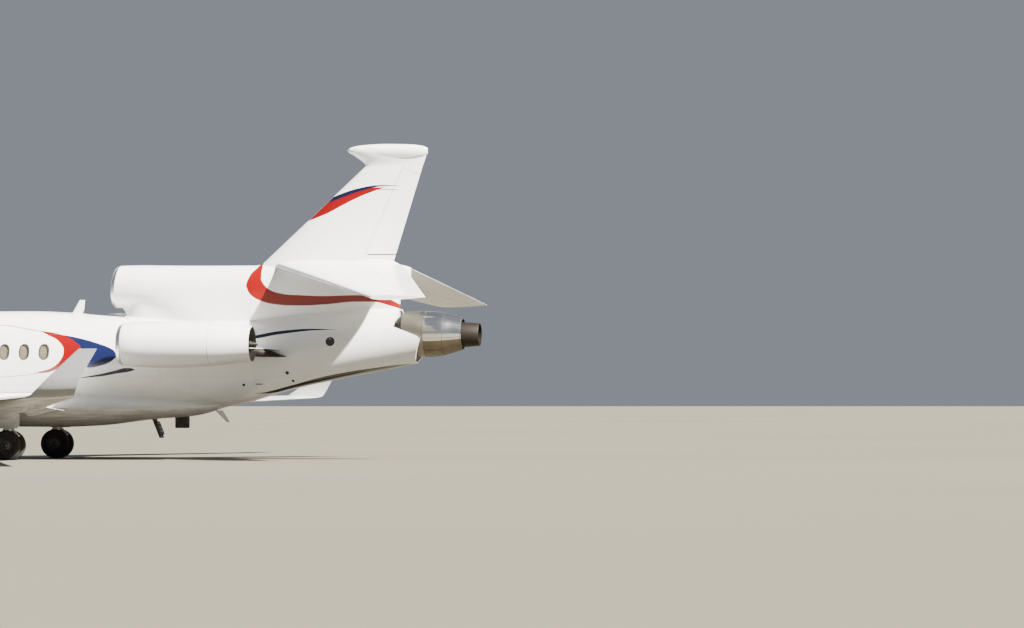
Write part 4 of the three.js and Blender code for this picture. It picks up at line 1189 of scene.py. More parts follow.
class Hinge:
    """A hinge line in a blade: its two ends, its direction and the way aft, square to it."""

    def __init__(self, name):
        self.rows, start, end, *stations = SURFACES[name]
        self.points = [at(s, span, between(self.rows, span)[3]) for s, span in zip(stations, (start, end))]
        way = self.points[1] - self.points[0]
        self.along, self.length = way.normalized(), way.length
        self.aft = (Vector((1, 0, 0)) - self.along.x * self.along).normalized()
        self.up = self.aft.cross(self.along)
        self.radii = [thickness_at(self.rows, point) for point in self.points]

    def at_share(self, share):
        radius = self.radii[0] + (self.radii[1] - self.radii[0]) * share
        return self.points[0] + self.along * self.length * share, radius

    def nose(self, centre, radius, count):
        """A half circle ahead of the hinge line."""
        angles = steps(-math.pi / 2, math.pi / 2, count)
        return [centre - self.aft * radius * math.cos(t) + self.up * radius * math.sin(t) for t in angles]

    def trailing_distance(self, point):
        """How far aft of a point on the hinge the trailing edge lies."""
        low, high = 0.0, 3.0
        for _ in range(40):
            middle = (low + high) / 2
            inside = chord_share(self.rows, point + self.aft * middle) < 1
            low, high = (middle, high) if inside else (low, middle)
        return low


def hinged_surface(name):
    """The tail of a blade behind its hinge line, with a round nose."""
    hinge = Hinge(name)
    rings = []
    for share in steps(0, 1, 18):
        centre, radius = hinge.at_share(share)
        upper, lower = [], []
        for off in steps(0, hinge.trailing_distance(centre), 12)[1:]:
            point = centre + hinge.aft * off
            half = Vector((0, 0, thickness_at(hinge.rows, point)))
            upper.append(point + half)
            lower.append(point - half)
        rings.append(hinge.nose(centre, radius, 14) + upper + lower[::-1])
    return loft(rings)


def surface_bay(name):
    """The room that a hinged surface needs in its blade: a round cove, and all behind it."""
    hinge = Hinge(name)
    over = PLAY / hinge.length
    rings = []
    for share in (-over, 1 + over):
        centre, radius = hinge.at_share(share)
        corners = ((0, 0.7), (1.6, 0.7), (1.6, -0.7), (0, -0.7))
        behind = [centre + hinge.aft * aft + hinge.up * up for aft, up in corners]
        rings.append(hinge.nose(centre, radius + PLAY, 20) + behind)
    return loft(rings)


def hinge_pins(*names):
    """Pins on the hinge lines, from the fixed blade into each end of the surfaces."""
    pins = []
    for hinge in map(Hinge, names):
        for point, way in zip(hinge.points, (hinge.along, -hinge.along)):
            pins.append(rod(point - way * (PLAY + 0.02), point + way * 0.04, 0.009))
    return with_material(joined(*pins), 1)


def stood_up(bm):
    """A blade that was made flat, turned so that its span runs up."""
    return moved(bm, turn=math.pi / 2, axis="X")


def edge_metal(bm, rows, share):
    """Gives the leading edge of a flat blade the piece's second material."""
    return with_material(bm, 1, lambda centre: chord_share(rows, centre) < share)


def wicks(rows, spans, *bends):
    """Short discharge wicks on the trailing edge of a blade."""
    made = []
    for span in spans:
        _, _, tail, height, *_ = between(rows, span)
        foot = at(tail - 0.03, span, height)
        made.append(tube([foot] + [foot + Vector(bend) for bend in bends], 0.003, 6))
    return joined(*made)


def both_sides(name, shape, materials, replaces=(), body="airframe"):
    """Finishes a piece, and its mirror image to port. An asterisk in a name stands for the side."""
    for side_name, side in SIDES.items():
        nodes = [node.replace("*", side_name) for node in replaces]
        one = mirrored(shape.copy(), side)
        finish_piece(name.replace("*", side_name), one, materials, nodes, body.replace("*", side_name))
    shape.free()


WING_SURFACES = ("flap_inboard", "flap_outboard", "aileron")
SLAT_EDGE = 0.14  # share of the chord where the slats end
TRACK_AHEAD = [
    (-0.85, 0.0), (-0.8, 0.025), (-0.65, 0.05), (-0.4, 0.075), (-0.24, 0.078), (-0.14, 0.068),
    (-0.095, 0.045), (-0.08, 0.0),
]


def pod(point, profile):
    """A slim body under the wing's skin, given by distances aft of the hinge and half widths."""
    rings = []
    for off, half in profile:
        under = thickness_at(WING, point + Vector((off, 0, 0)))
        middle = point + Vector((off, 0, -under - 0.35 * half))
        rings.append([middle + Vector((0, half * math.cos(t), 1.25 * half * math.sin(t))) for t in turns(20)])
    return loft(rings)


def slat_lines():
    """Thin dark strips where the slats meet the wing, on the upper side."""
    strips = []
    for start, end in ((1.7, 4.5), (4.56, 8.5), (8.56, 12.3)):
        points = []
        for span in steps(start, end, 12):
            _, nose, tail, height, ratio, _ = between(WING, span)
            chord = tail - nose
            half = half_thickness(SLAT_EDGE, chord, ratio)
            points.append(at(nose + SLAT_EDGE * chord, span, height + half))
        strips.append(tube(points, 0.0035, 6))
    return with_material(joined(*strips), 2)


class JET_OT_wings(bpy.types.Operator):
    """Builds both wings with their winglets, flaps, ailerons, track fairings and lamps"""

    bl_idname = "jet.wings"
    bl_label = "Wings"

    def execute(self, context):
        wing = blade(WING, 10)
        for name in WING_SURFACES:
            wing = boolean(wing, surface_bay(name))
            node = name + "_*"
            both_sides(node + "_skin", hinged_surface(name), "wing_paint", [node], node)
        wing = edge_metal(wing, WING, 0.03)
        outline = [(1.01, 0), (1.01, 0.042), (1.015, 0.045), (1.2, 0.045), (1.2, 0)]
        pad = with_material(turned(outline, at(10.6, 2.7, 0), 24, UPWARDS), 1)
        wing = joined(wing, hinge_pins(*WING_SURFACES), pad, slat_lines())
        both_sides("wing_*_skin", wing, "wing_paint polished seal", ["wing_*"])
        curve = smooth_curve(WINGLET)
        spans = sorted(set(steps(WINGLET[0][0], WINGLET[-1][0], 26) + [row[0] for row in WINGLET]))
        winglet = loft([aerofoil_ring([span] + curve(span)) for span in spans])
        winglet = with_material(winglet, 1, lambda centre: centre.z > 2.585)
        both_sides("winglet_*_skin", winglet, "grey_paint satin_metal", ["winglet_*"])
        tracks = []
        for name, share in (("flap_inboard", 0.5), ("flap_outboard", 0.04), ("flap_outboard", 0.62)):
            hinge = Hinge(name)
            point = hinge.at_share(share)[0]
            tracks.append(pod(point, TRACK_AHEAD))
            chord = hinge.trailing_distance(point)
            behind = [(0.1, 0.0), (0.115, 0.035), (0.16, 0.058), (0.25, 0.065), (0.55 * chord, 0.05)]
            tail = pod(point, behind + [(chord, 0.012), (chord + 0.02, 0.0)])
            label = f"{name}_pod_*_{round(100 * share)}"
            both_sides(label, tail, "white_paint", body=name + "_*")
        both_sides("flap_tracks_*", joined(*tracks), "white_paint")
        tips = wicks(WING, (9.6, 10.4, 11.2, 12.0), (0.07, 0.004, 0), (0.12, 0.01, -0.004))
        both_sides("wing_wicks_*", tips, "seal", body="aileron_*")
        lens = blade([(12.596, 15.44, 15.56, 1.566, 0.28, 0), (12.66, 15.5, 15.6, 1.57, 0.2, 0)], 3)
        for side_name, finish in (("starboard", "green_lens"), ("port", "red_lens")):
            lamp = mirrored(lens.copy(), SIDES[side_name])
            finish_piece(f"tip_lamp_{side_name}", lamp, finish)
        return {"FINISHED"}


class JET_OT_tail(bpy.types.Operator):
    """Builds the fin, rudder, bullet, tailplane and elevators"""

    bl_idname = "jet.tail"
    bl_label = "Tail"

    def execute(self, context):
        start, down = FIN_BASE[0][0], (0, 0, -1)
        bay = trimmed(stood_up(surface_bay("rudder")), (0, 0, RUDDER_BAY_FLOOR), down)
        fin = boolean(stood_up(blade(FIN, 24)), bay.copy())
        fin = trimmed(fin, at(start, 0, 0), (-1, 0, 0))
        base_curve = smooth_curve(FIN_BASE)
        base = filled(base_curve, start + SEAT, FIN_BASE[-1][0], 30, 0.0, 64)
        base = trimmed(base, (0, 0, 3.0), down)
        base = boolean(base, bay)
        heel = filled(smooth_curve(FIN_HEEL), FIN_HEEL[0][0], FIN_HEEL[-1][0], 12, 0.0, 48)
        fillet = []
        for station in steps(start + SEAT, 21.25, 36):
            own = lambda z: half_at(base_curve, station, z)
            low = skin(station)[0] - 0.16
            fillet.append(seated_ring(station, low, 4.3, own, 0.2 * min(1.0, (21.25 - station) / 0.5 + 0.05)))
        spread = smooth_curve(FIN_TOP)
        heights = steps(FIN_TOP[0][0], FIN_TOP[-1][0], 14)
        top = stood_up(loft([aerofoil_ring([z] + spread(z) + [0]) for z in heights]))
        fin = [fin, base, loft(fillet), heel, top, stood_up(hinge_pins("rudder"))]
        finish_piece("fin_skin", fin, "fin_paint satin_metal", ["fin"])
        rudder = trimmed(stood_up(hinged_surface("rudder")), (0, 0, RUDDER_FLOOR), down)
        finish_piece("rudder_skin", rudder, "fin_paint", ["rudder"], "rudder")
        curve = smooth_curve(BULLET)
        stations = [19.99 + 2.05 * share**1.6 for share in steps(0, 1, 36)]
        bullet = loft([body_ring(curve, station, 0.0, 48) for station in stations])
        finish_piece("bullet_skin", bullet, "white_paint", ["fin_bullet"])
        plane = edge_metal(boolean(blade(TAILPLANE, 24), surface_bay("elevator")), TAILPLANE, 0.018)
        plane = joined(plane, hinge_pins("elevator"))
        both_sides("tailplane_*_skin", plane, "wing_paint satin_metal", ["tailplane_*"])
        elevator = hinged_surface("elevator")
        both_sides("elevator_*_skin", elevator, "wing_paint", ["elevator_*"], "elevator_*")
        tips = wicks(TAILPLANE, (2.4, 3.0, 3.6, 4.0), (0.06, 0.008, 0), (0.11, 0.015, -0.002))
        both_sides("tail_wicks_*", tips, "seal", body="elevator_*")
        return {"FINISHED"}


INTAKE_AXIS = 4.37  # height of the centre intake's middle
INTAKE_SLANT = 0.1
SADDLE_START = 14.2
NACELLE = {"lip": 14.62, "side": 1.95, "height": 2.88}
NACELLE_OUTSIDE = [(0.12, 0.528), (0.45, 0.57), (1.15, 0.585), (2.1, 0.56), (3.38, 0.432)]
NACELLE_INSIDE = [(0.16, 0.408), (0.9, 0.425), (1.6, 0.45), (3.375, 0.415)]
LIP = [
    (0.12, 0.528), (0.075, 0.514), (0.035, 0.497), (0.008, 0.476), (0.0, 0.456), (0.012, 0.436),
    (0.05, 0.418),
]
BARREL = [(21.42, 0.52), (21.46, 0.56), (22.05, 0.575), (22.35, 0.555), (22.7, 0.47), (22.955, 0.395)]
TITANIUM_END = 22.04  # the plain metal section of the centre nozzle ends here
# Outlines spun round an engine's axis: station, radius
SPINNER = [
    (14.99, 0), (15.0, 0.018), (15.05, 0.06), (15.15, 0.105), (15.3, 0.14), (15.45, 0.15), (15.55, 0.15),
    (15.56, 0.145), (15.56, 0.07), (15.53, 0.0),
]
CORE = [
    (15.525, 0.0), (15.525, 0.06), (15.64, 0.06), (15.645, 0.21), (15.75, 0.27), (15.9, 0.33), (16.6, 0.345),
    (17.3, 0.33), (17.6, 0.318), (17.86, 0.3), (17.865, 0.292), (17.7, 0.285), (17.4, 0.28), (17.4, 0.19),
    (17.55, 0.175), (17.7, 0.15), (17.95, 0.085), (18.1, 0.04), (18.155, 0.012), (18.155, 0.0),
]
PIPE_START = 21.5 + SEAT
PIPE = [
    (PIPE_START, 0.33), (22.5, 0.33), (22.9, 0.318), (23.36, 0.286), (23.378, 0.28), (23.38, 0.272),
    (23.375, 0.265), (22.9, 0.292), (22.5, 0.308), (PIPE_START, 0.308),
]
PLUG = [
    (21.6, 0.0), (21.6, 0.3), (21.7, 0.3), (22.0, 0.2), (22.5, 0.16), (22.9, 0.1), (23.1, 0.03), (23.12, 0.0),
]
# The body behind a pylon: station, half height, middle height
PYLON_TAIL = [(17.5, 0.09, 2.73), (18.05, 0.105, 2.68), (18.35, 0.06, 2.63), (18.62, 0.004, 2.58)]
# Vanes behind the fan: count, first angle, (station, chord, half thickness, inner radius), and how far
# behind the lip they reach the duct
VANES = [(6, math.pi / 28, (16.04, 0.32, 0.012, 0.3), 1.58), (36, 0.05, (15.72, 0.12, 0.004, 0.24), 1.15)]


def spun(outline, height=0.0, sides=48):
    """A shape spun round an axis along the aircraft, from stations and radii."""
    return turned([(x + NOSE, radius) for x, radius in outline], (0, 0, height), sides)


def hoop(ring, radius):
    """A thin ring along points that lie across the aircraft."""
    middle = sum(ring, Vector()) / len(ring)
    rings = []
    for point in ring:
        out = (point - middle).normalized()
        rings.append([point + radius * (out * math.cos(t) + Vector((math.sin(t), 0, 0))) for t in turns(6)])
    return loft(rings, loop=True)


def leaned(ring):
    """The centre intake's lip stands on a slant, with its lower edge further forward."""
    amounts = [max(0.0, min(1.0, (NOSE + 14.6 - point.x) / 0.4)) for point in ring]
    return [
        point + Vector(((point.z - INTAKE_AXIS) * INTAKE_SLANT * amount, 0, 0))
        for point, amount in zip(ring, amounts)
    ]


def saddle(cowl, station):
    """A section that stands between the centre intake's cowl and the fuselage."""
    _, bottom, half, widest = cowl(station)
    crown = skin(station)[0]
    behind = station - SADDLE_START
    grown = math.sqrt(max(0.0, 1 - max(0.0, 1 - behind / 0.6) ** 2))
    low = max(crown - 0.16, bottom + 0.05 - 2.6 * behind)

    def own(z):
        up = min(1.0, max(0.0, (z - crown) / (widest - crown)))
        blunt = math.sqrt(min(1.0, max(0.0001, (z - low) / 0.1))) if low > crown - 0.159 else 1.0
        side = grown * blunt * half * (0.66 + 0.16 * up)
        soft = 0.12 * (1 - up) * min(1.0, (COWL_END - station) / 0.8)
        return soft_largest(half_at(cowl, station, z), side, soft) - 0.004 * up

    return seated_ring(station, low, widest, own, 0.2 * grown)


class JET_OT_centre_intake(bpy.types.Operator):
    """Builds the centre intake's cowl and air duct, down to the fuselage"""

    bl_idname = "jet.centre_intake"
    bl_label = "Centre intake"

    def execute(self, context):
        cowl, duct = smooth_curve(COWL), smooth_curve(DUCT)
        sides = 72
        rings = [body_ring(cowl, station, 0.0, sides) for station in steps(COWL_END, INTAKE_MOUTH, 28)]
        pairs = list(zip(rings[-1], body_ring(duct, INTAKE_MOUTH, 0.0, sides)))
        for turn in steps(0, math.pi, 12)[1:-1]:
            share, forward = (1 + math.cos(turn)) / 2, Vector((0.135 * math.sin(turn), 0, 0))
            rings.append([inner.lerp(outer, share) - forward for outer, inner in pairs])
        rings += [body_ring(duct, station, 0.0, sides) for station in steps(INTAKE_MOUTH, DUCT_END, 20)]
        first, last = at(COWL_END, 0, 4.0), at(DUCT_END, 0, 4.14)
        cowl_skin = loft([[first] * sides, *map(leaned, rings), [last] * sides])
        cowl_skin = boolean(cowl_skin, filled(skin, 13.0, 18.5, 40, -0.05))
        with_material(cowl_skin, 2, inner_face(duct, limit=1.06))
        with_material(cowl_skin, 1, lambda p: p.x < NOSE + 14.1 + (p.z - INTAKE_AXIS) * INTAKE_SLANT)
        keel = loft([saddle(cowl, station) for station in steps(SADDLE_START, COWL_END, 50)])
        keel = boolean(keel, filled(duct, 13.9, 16.95, 24, 0.012, 48))
        materials = "fin_paint satin_metal titanium"
        finish_piece("centre_intake_skin", [cowl_skin, keel], materials, ["centre_intake"])
        # A black disc closes the duct: painted shade that stands in for the dark depth of the duct behind it
        finish_piece("centre_duct_shade_disc", filled(duct, 16.78, 16.8, 1, -0.004, 48), "soot")
        return {"FINISHED"}


def fan_blade():
    """A wide twisted blade that stands up from the hub."""
    rings = []
    for share in steps(0, 1, 10):
        pitch = math.radians(28 + 34 * share)
        chord = 0.1 + 0.05 * math.sin(math.pi * share**0.8)
        sweep = 0.02 * math.sin(math.pi * share)
        ring = []
        for turn in turns(14):
            along = 0.5 * chord * math.cos(turn)
            across = 0.0045 * math.sin(turn) * (1.3 - 0.6 * share) + 0.006 * (1 - (2 * along / chord) ** 2)
            x = along * math.cos(pitch) - across * math.sin(pitch)
            y = along * math.sin(pitch) + across * math.cos(pitch)
            ring.append(at(15.41 - sweep + x, y, 0.135 + 0.27 * share))
        rings.append(ring)
    return loft(rings)


def vane(start, chord, half, low, high):
    """A straight vane that stands up across the duct."""
    return loft([
        [at(start + 0.5 * chord * (1 - math.cos(turn)), half * math.sin(turn), radius) for turn in turns(16)]
        for radius in (low, high)
    ])


class JET_OT_side_engines(bpy.types.Operator):
    """Builds the nacelles, pylons, fans and engine cores"""

    bl_idname = "jet.side_engines"
    bl_label = "Side engines"

    def execute(self, context):
        self.nacelle()
        self.pylon()
        self.fan(context.scene.jet_engines.fan_blades)
        self.core()
        return {"FINISHED"}

    def nacelle(self):
        outside, inside = smooth_curve(NACELLE_OUTSIDE), smooth_curve(NACELLE_INSIDE)
        profile = LIP[::-1] + [(back, outside(back)[0]) for back in steps(0.12, 3.38, 30)[1:]]
        profile += [(back, inside(back)[0]) for back in steps(3.375, 0.16, 22)]
        centre = at(NACELLE["lip"], NACELLE["side"], NACELLE["height"])

        def burnt(point):
            back, off = point.x - centre.x, math.hypot(point.y - centre.y, point.z - centre.z)
            return back > 3.35 or (back > 0.16 and off < inside(back)[0] + 0.008)

        shape = turned(profile, centre, 96)
        with_material(shape, 1, lambda point: point.x - centre.x < 0.115)
        with_material(shape, 2, burnt)
        materials = "nacelle_paint satin_metal burnt"
        both_sides("nacelle_*_skin", shape, materials, ["nacelle_*"])
        joints = []
        for back, width in ((0.118, 0.004), (2.35, 0.0025)):
            joints.append(hoop(circle(centre + Vector((back, 0, 0)), outside(back)[0], 96), width))
        both_sides("nacelle_joints_*", joined(*joints), "seal")

    def pylon(self):
        fairing = []
        for station, half, middle in PYLON_TAIL:
            outer = 1.53 - 0.3 * max(0.0, station - 18.0)
            points = [(0.8, middle + half), (0.8, middle - half)]
            for turn in steps(-math.pi / 2, math.pi / 2, 8):
                points.append((outer + 0.6 * half * math.cos(turn), middle + half * math.sin(turn)))
            fairing.append([at(station, y, z) for y, z in points])
        # The body behind the pylon takes the burnt finish: heat stain, and partly painted shade of its dark
        # underside
        shape = joined(blade(PYLON, 16), with_material(loft(fairing), 1))
        both_sides("pylon_*_skin", shape, "nacelle_paint burnt", ["pylon_*"])

    def on_axis(self, *parts):
        """Parts made round the aircraft's middle, moved to the starboard engine's axis."""
        return moved(joined(*parts), (0, NACELLE["side"], NACELLE["height"]))

    def fan(self, count):
        blades = joined(*[moved(fan_blade(), turn=turn) for turn in turns(count)])
        swirl = []
        for share in steps(0, 1, 24):
            radius, turn = 0.02 + 0.1 * share, 5.0 * share
            swirl.append(at(15.003 + 0.17 * share**1.6, radius * math.cos(turn), radius * math.sin(turn)))
        shape = self.on_axis(spun(SPINNER), with_material(blades, 1), with_material(tube(swirl, 0.006, 6), 2))
        materials = "dark_paint fan_metal white_paint"
        both_sides("fan_*_rotor", shape, materials, ["fan_*"], "fan_*")

    def core(self):
        body = with_material(spun(CORE, sides=64), 1, lambda p: p.x > NOSE + 17.2)
        inside = smooth_curve(NACELLE_INSIDE)
        vanes = [
            moved(vane(*sizes, inside(back)[0] + 0.003), turn=turn)
            for count, start, sizes, back in VANES for turn in turns(count, start)
        ]
        core = self.on_axis(body, *vanes)
        both_sides("engine_core_*_body", core, "titanium burnt", ["engine_core_*"])


class JET_OT_centre_engine(bpy.types.Operator):
    """Builds the centre engine's nozzle, its polished barrel and the exhaust pipe"""

    bl_idname = "jet.centre_engine"
    bl_label = "Centre engine"

    def execute(self, context):
        outer = smooth_curve(BARREL)
        profile = [(21.42, 0.4), (21.42, 0.515)] + [(x, outer(x)[0]) for x in steps(21.425, 22.955, 36)]
        profile += [(22.955, 0.372), (22.7, 0.43), (22.35, 0.49), (22.0, 0.5), (22.0, 0.4)]
        barrel = spun(profile, CENTRE_AXIS, 96)

        def on_outside(p):
            return math.hypot(p.y, p.z - CENTRE_AXIS) > outer(p.x - NOSE)[0] - 0.012

        # Aft of the titanium and below the axis, the barrel's outside takes a dark bronze finish: heat stain,
        # and a painted reflection of the dark ground below it
        def stained(p):
            drop = max(0.12, 0.3 * outer(p.x - NOSE)[0])
            return p.x > NOSE + TITANIUM_END and p.z < CENTRE_AXIS - drop and on_outside(p)

        with_material(barrel, 1, lambda p: p.x > NOSE + TITANIUM_END)
        with_material(barrel, 2, lambda p: p.x > NOSE + 21.9 and not on_outside(p))
        with_material(barrel, 4, stained)
        strips = []
        for turn in turns(10, 0.2):
            line = []
            for x in steps(22.06, 22.93, 12):
                radius = outer(x)[0] + 0.001
                line.append(at(x, radius * math.cos(turn), CENTRE_AXIS + radius * math.sin(turn)))
            strips.append(tube(line, 0.0045, 6))
        for x in (TITANIUM_END, 22.5, 22.93):
            strips.append(hoop(circle(at(x, 0, CENTRE_AXIS), outer(x)[0], 96), 0.006))
        shape = [barrel, with_material(joined(*strips), 3)]
        materials = "titanium polished soot seal stained"
        finish_piece("nozzle_barrel", shape, materials, ["centre_nozzle"])
        exhaust = [spun(PIPE, CENTRE_AXIS - 0.02, 72), spun(PLUG, CENTRE_AXIS - 0.02)]
        finish_piece("exhaust_pipe", exhaust, "burnt", ["centre_exhaust"])
        self.engine()
        return {"FINISHED"}

    def engine(self):
        """The closed casing of the centre engine, with its flanges, pipes and the beam that carries it."""
        casing = [(19.0, 0.0), (19.0, 0.2), (19.01, 0.33), (19.03, 0.345)]
        for x in (19.35, 20.05, 20.7, 21.2):
            casing += [(x, 0.345), (x + 0.002, 0.36), (x + 0.028, 0.36), (x + 0.03, 0.345)]
        casing += [(21.38, 0.345), (21.39, 0.34), (21.4, 0.2), (21.4, 0.0)]
        parts = [spun(casing, CENTRE_AXIS, 64)]
        for turn, bow in ((3.9, 0.02), (4.4, -0.03), (5.2, 0.03)):
            points = []
            for x in steps(19.2, 21.1, 14):
                here = turn + bow * math.sin(6 * x)
                points.append(at(x, 0.356 * math.cos(here), CENTRE_AXIS + 0.356 * math.sin(here)))
            parts.append(with_material(tube(points, 0.012, 8), 1))
        reach = wall_y(19.75, CENTRE_AXIS) - REAR_WALL - 0.004
        for way in (1, -1):
            end = at(19.9, way * reach, CENTRE_AXIS + 0.06)
            parts.append(block(at(19.6, way * 0.3, CENTRE_AXIS - 0.06), end, 0.008))
        finish_piece("centre_engine_casing", parts, "titanium burnt", ["centre_engine"])


NOSE_GEAR = {"station": 3.25, "tyre": 0.222, "width": 0.14, "spacing": 0.15, "axle": 0.032, "bead": 0.11}
MAIN_GEAR = {"station": 11.83, "tyre": 0.372, "width": 0.205, "spacing": 0.215, "axle": 0.045, "bead": 0.195}
MAIN_SIDE = 2.2
# Half of a tyre's sidewall: share of its half width, share of the way from bead to tread
SIDEWALL = [
    (0.7, 0.0), (0.76, 0.0), (0.88, 0.1), (0.97, 0.3), (1.0, 0.5), (0.985, 0.52), (0.985, 0.56), (0.96, 0.68),
    (0.88, 0.83), (0.77, 0.94),
]
# Half of a rim's section: share of half the tyre's width, share of the bead's radius
RIM_FACE = [
    (0.86, 0.0), (0.86, 0.16), (0.8, 0.22), (0.72, 0.26), (0.55, 0.42), (0.32, 0.6), (0.28, 0.78),
    (0.45, 0.9), (0.66, 0.93), (0.82, 0.965), (0.84, 1.03), (0.76, 1.04), (0.7, 1.0),
]
RIM_HOLES = 10
# Outlines of the legs' fixed parts: height, radius
NOSE_LEG = [
    (0.76, 0.0525), (0.76, 0.085), (0.765, 0.094), (0.81, 0.094), (0.815, 0.087), (1.22, 0.087),
    (1.225, 0.096), (1.29, 0.096), (1.3, 0.086), (1.6, 0.07), (1.6, 0.0), (1.5, 0.0), (1.5, 0.0525),
]
MAIN_LEG = [
    (0.74, 0.06), (0.74, 0.1), (0.75, 0.112), (0.8, 0.112), (0.81, 0.1), (1.02, 0.1), (1.03, 0.108),
    (1.1, 0.108), (1.11, 0.101), (1.25, 0.104), (1.25, 0.06),
]
MAIN_DOOR = [(-0.22, 0.79), (0.27, 0.79), (0.33, 0.86), (0.33, 1.3), (-0.3, 1.3), (-0.3, 0.86)]


class Kit(list):
    """The shapes of one piece, given by places about a point."""

    def __init__(self, origin=(0, 0, 0)):
        super().__init__()
        self.origin = Vector(origin)

    def keep(self, shape, index=0):
        """Takes in a finished shape, with the number of its material."""
        self.append(with_material(shape, index))

    def rod(self, start, end, radius, *more, index=0, **settings):
        ends = self.origin + Vector(start), self.origin + Vector(end)
        self.keep(rod(*ends, radius, *more, **settings), index)

    def block(self, start, end, *more, index=0):
        self.keep(block(self.origin + Vector(start), self.origin + Vector(end), *more), index)

    def tube(self, points, *more, index=0):
        self.keep(tube([self.origin + Vector(point) for point in points], *more), index)

    def spun(self, outline, sides, index=0):
        """A shape spun round an upright axis, from heights and radii."""
        self.keep(moved(turned(outline, (0, 0, 0), sides, UPWARDS), self.origin), index)


def both_faces(rows):
    """A section drawn for one half, with its mirror image."""
    return rows + [(-along, radius) for along, radius in rows[::-1]]


def tyre(gear):
    """A tyre with rounded shoulders, a moulded sidewall and grooves round its tread."""
    radius, half, bead = gear["tyre"], gear["width"] / 2, gear["bead"]
    low = radius - 0.03 * radius
    wall = [(half * across, bead + share * (radius - bead)) for across, share in SIDEWALL]
    wall[1] = (wall[1][0], bead + 0.004)  # the step at the rim
    tread = [(half * 0.62, radius * 0.993)]
    for groove in (0.45, 0.16):
        rows = ((0.05, radius), (0.04, low), (-0.04, low), (-0.05, radius))
        tread += [(half * (groove + off), depth) for off, depth in rows]
    return turned(both_faces(wall + tread), (0, 0, 0), 80, ACROSS)


def rim_disc(gear):
    """A wheel rim with round holes, bolts and a hub cap, alike on both faces."""
    bead, half = gear["bead"], gear["width"] / 2
    disc = turned(both_faces([(half * w, bead * r) for w, r in RIM_FACE]), (0, 0, 0), 64, ACROSS)
    cutters, bolts = [], []
    through = Vector((0, half, 0))
    for turn in turns(RIM_HOLES):
        middle = Vector((bead * 0.69 * math.cos(turn), 0, bead * 0.69 * math.sin(turn)))
        cutters.append(rod(middle - through, middle + through, bead * 0.085, sides=18))
    for turn in turns(RIM_HOLES, math.pi / RIM_HOLES):
        for way in (1, -1):
            start = Vector((bead * 0.5 * math.cos(turn), way * half * 0.42, bead * 0.5 * math.sin(turn)))
            bolts.append(rod(start, start + Vector((0, way * 0.018, 0)), bead * 0.045, sides=6))
    return joined(boolean(disc, joined(*cutters)), with_material(joined(*bolts), 1))


class JET_OT_wheels(bpy.types.Operator):
    """Builds the tyres and wheels of all three legs"""

    bl_idname = "jet.wheels"
    bl_label = "Wheels"

    def execute(self, context):
        self.pair(NOSE_GEAR, 0, "nose_wheels", "nose_tyre_starboard", "nose_tyre_port")
        for side_name, side in SIDES.items():
            names = [f"main_tyre_{place}_{side_name}" for place in ("outer", "inner")]
            self.pair(MAIN_GEAR, side * MAIN_SIDE, f"main_wheels_{side_name}", *names[::side])
        return {"FINISHED"}

    def pair(self, gear, y, body, *nodes):
        """Two wheels on one axle, with the nodes of the starboard and the port tyre."""
        centre, off = at(gear["station"], y, gear["tyre"]), Vector((0, gear["spacing"], 0))
        rims = Kit()
        rims.rod(centre - off, centre + off, gear["axle"], sides=32)
        for node, side in zip(nodes, SIDES.values()):
            middle = centre + side * off
            finish_piece(f"{node}_rubber", moved(tyre(gear), middle), "rubber", [node], body)
            rims.append(moved(rim_disc(gear), middle))
            brake = [middle - Vector((0, side * gear["width"] * share, 0)) for share in (0.36, 0.58)]
            rims.rod(*brake, gear["bead"] * 0.66, sides=40, bevel=0.006, index=2)
        finish_piece(f"{body}_rims", rims, "rim_metal satin_metal burnt", [body], body)


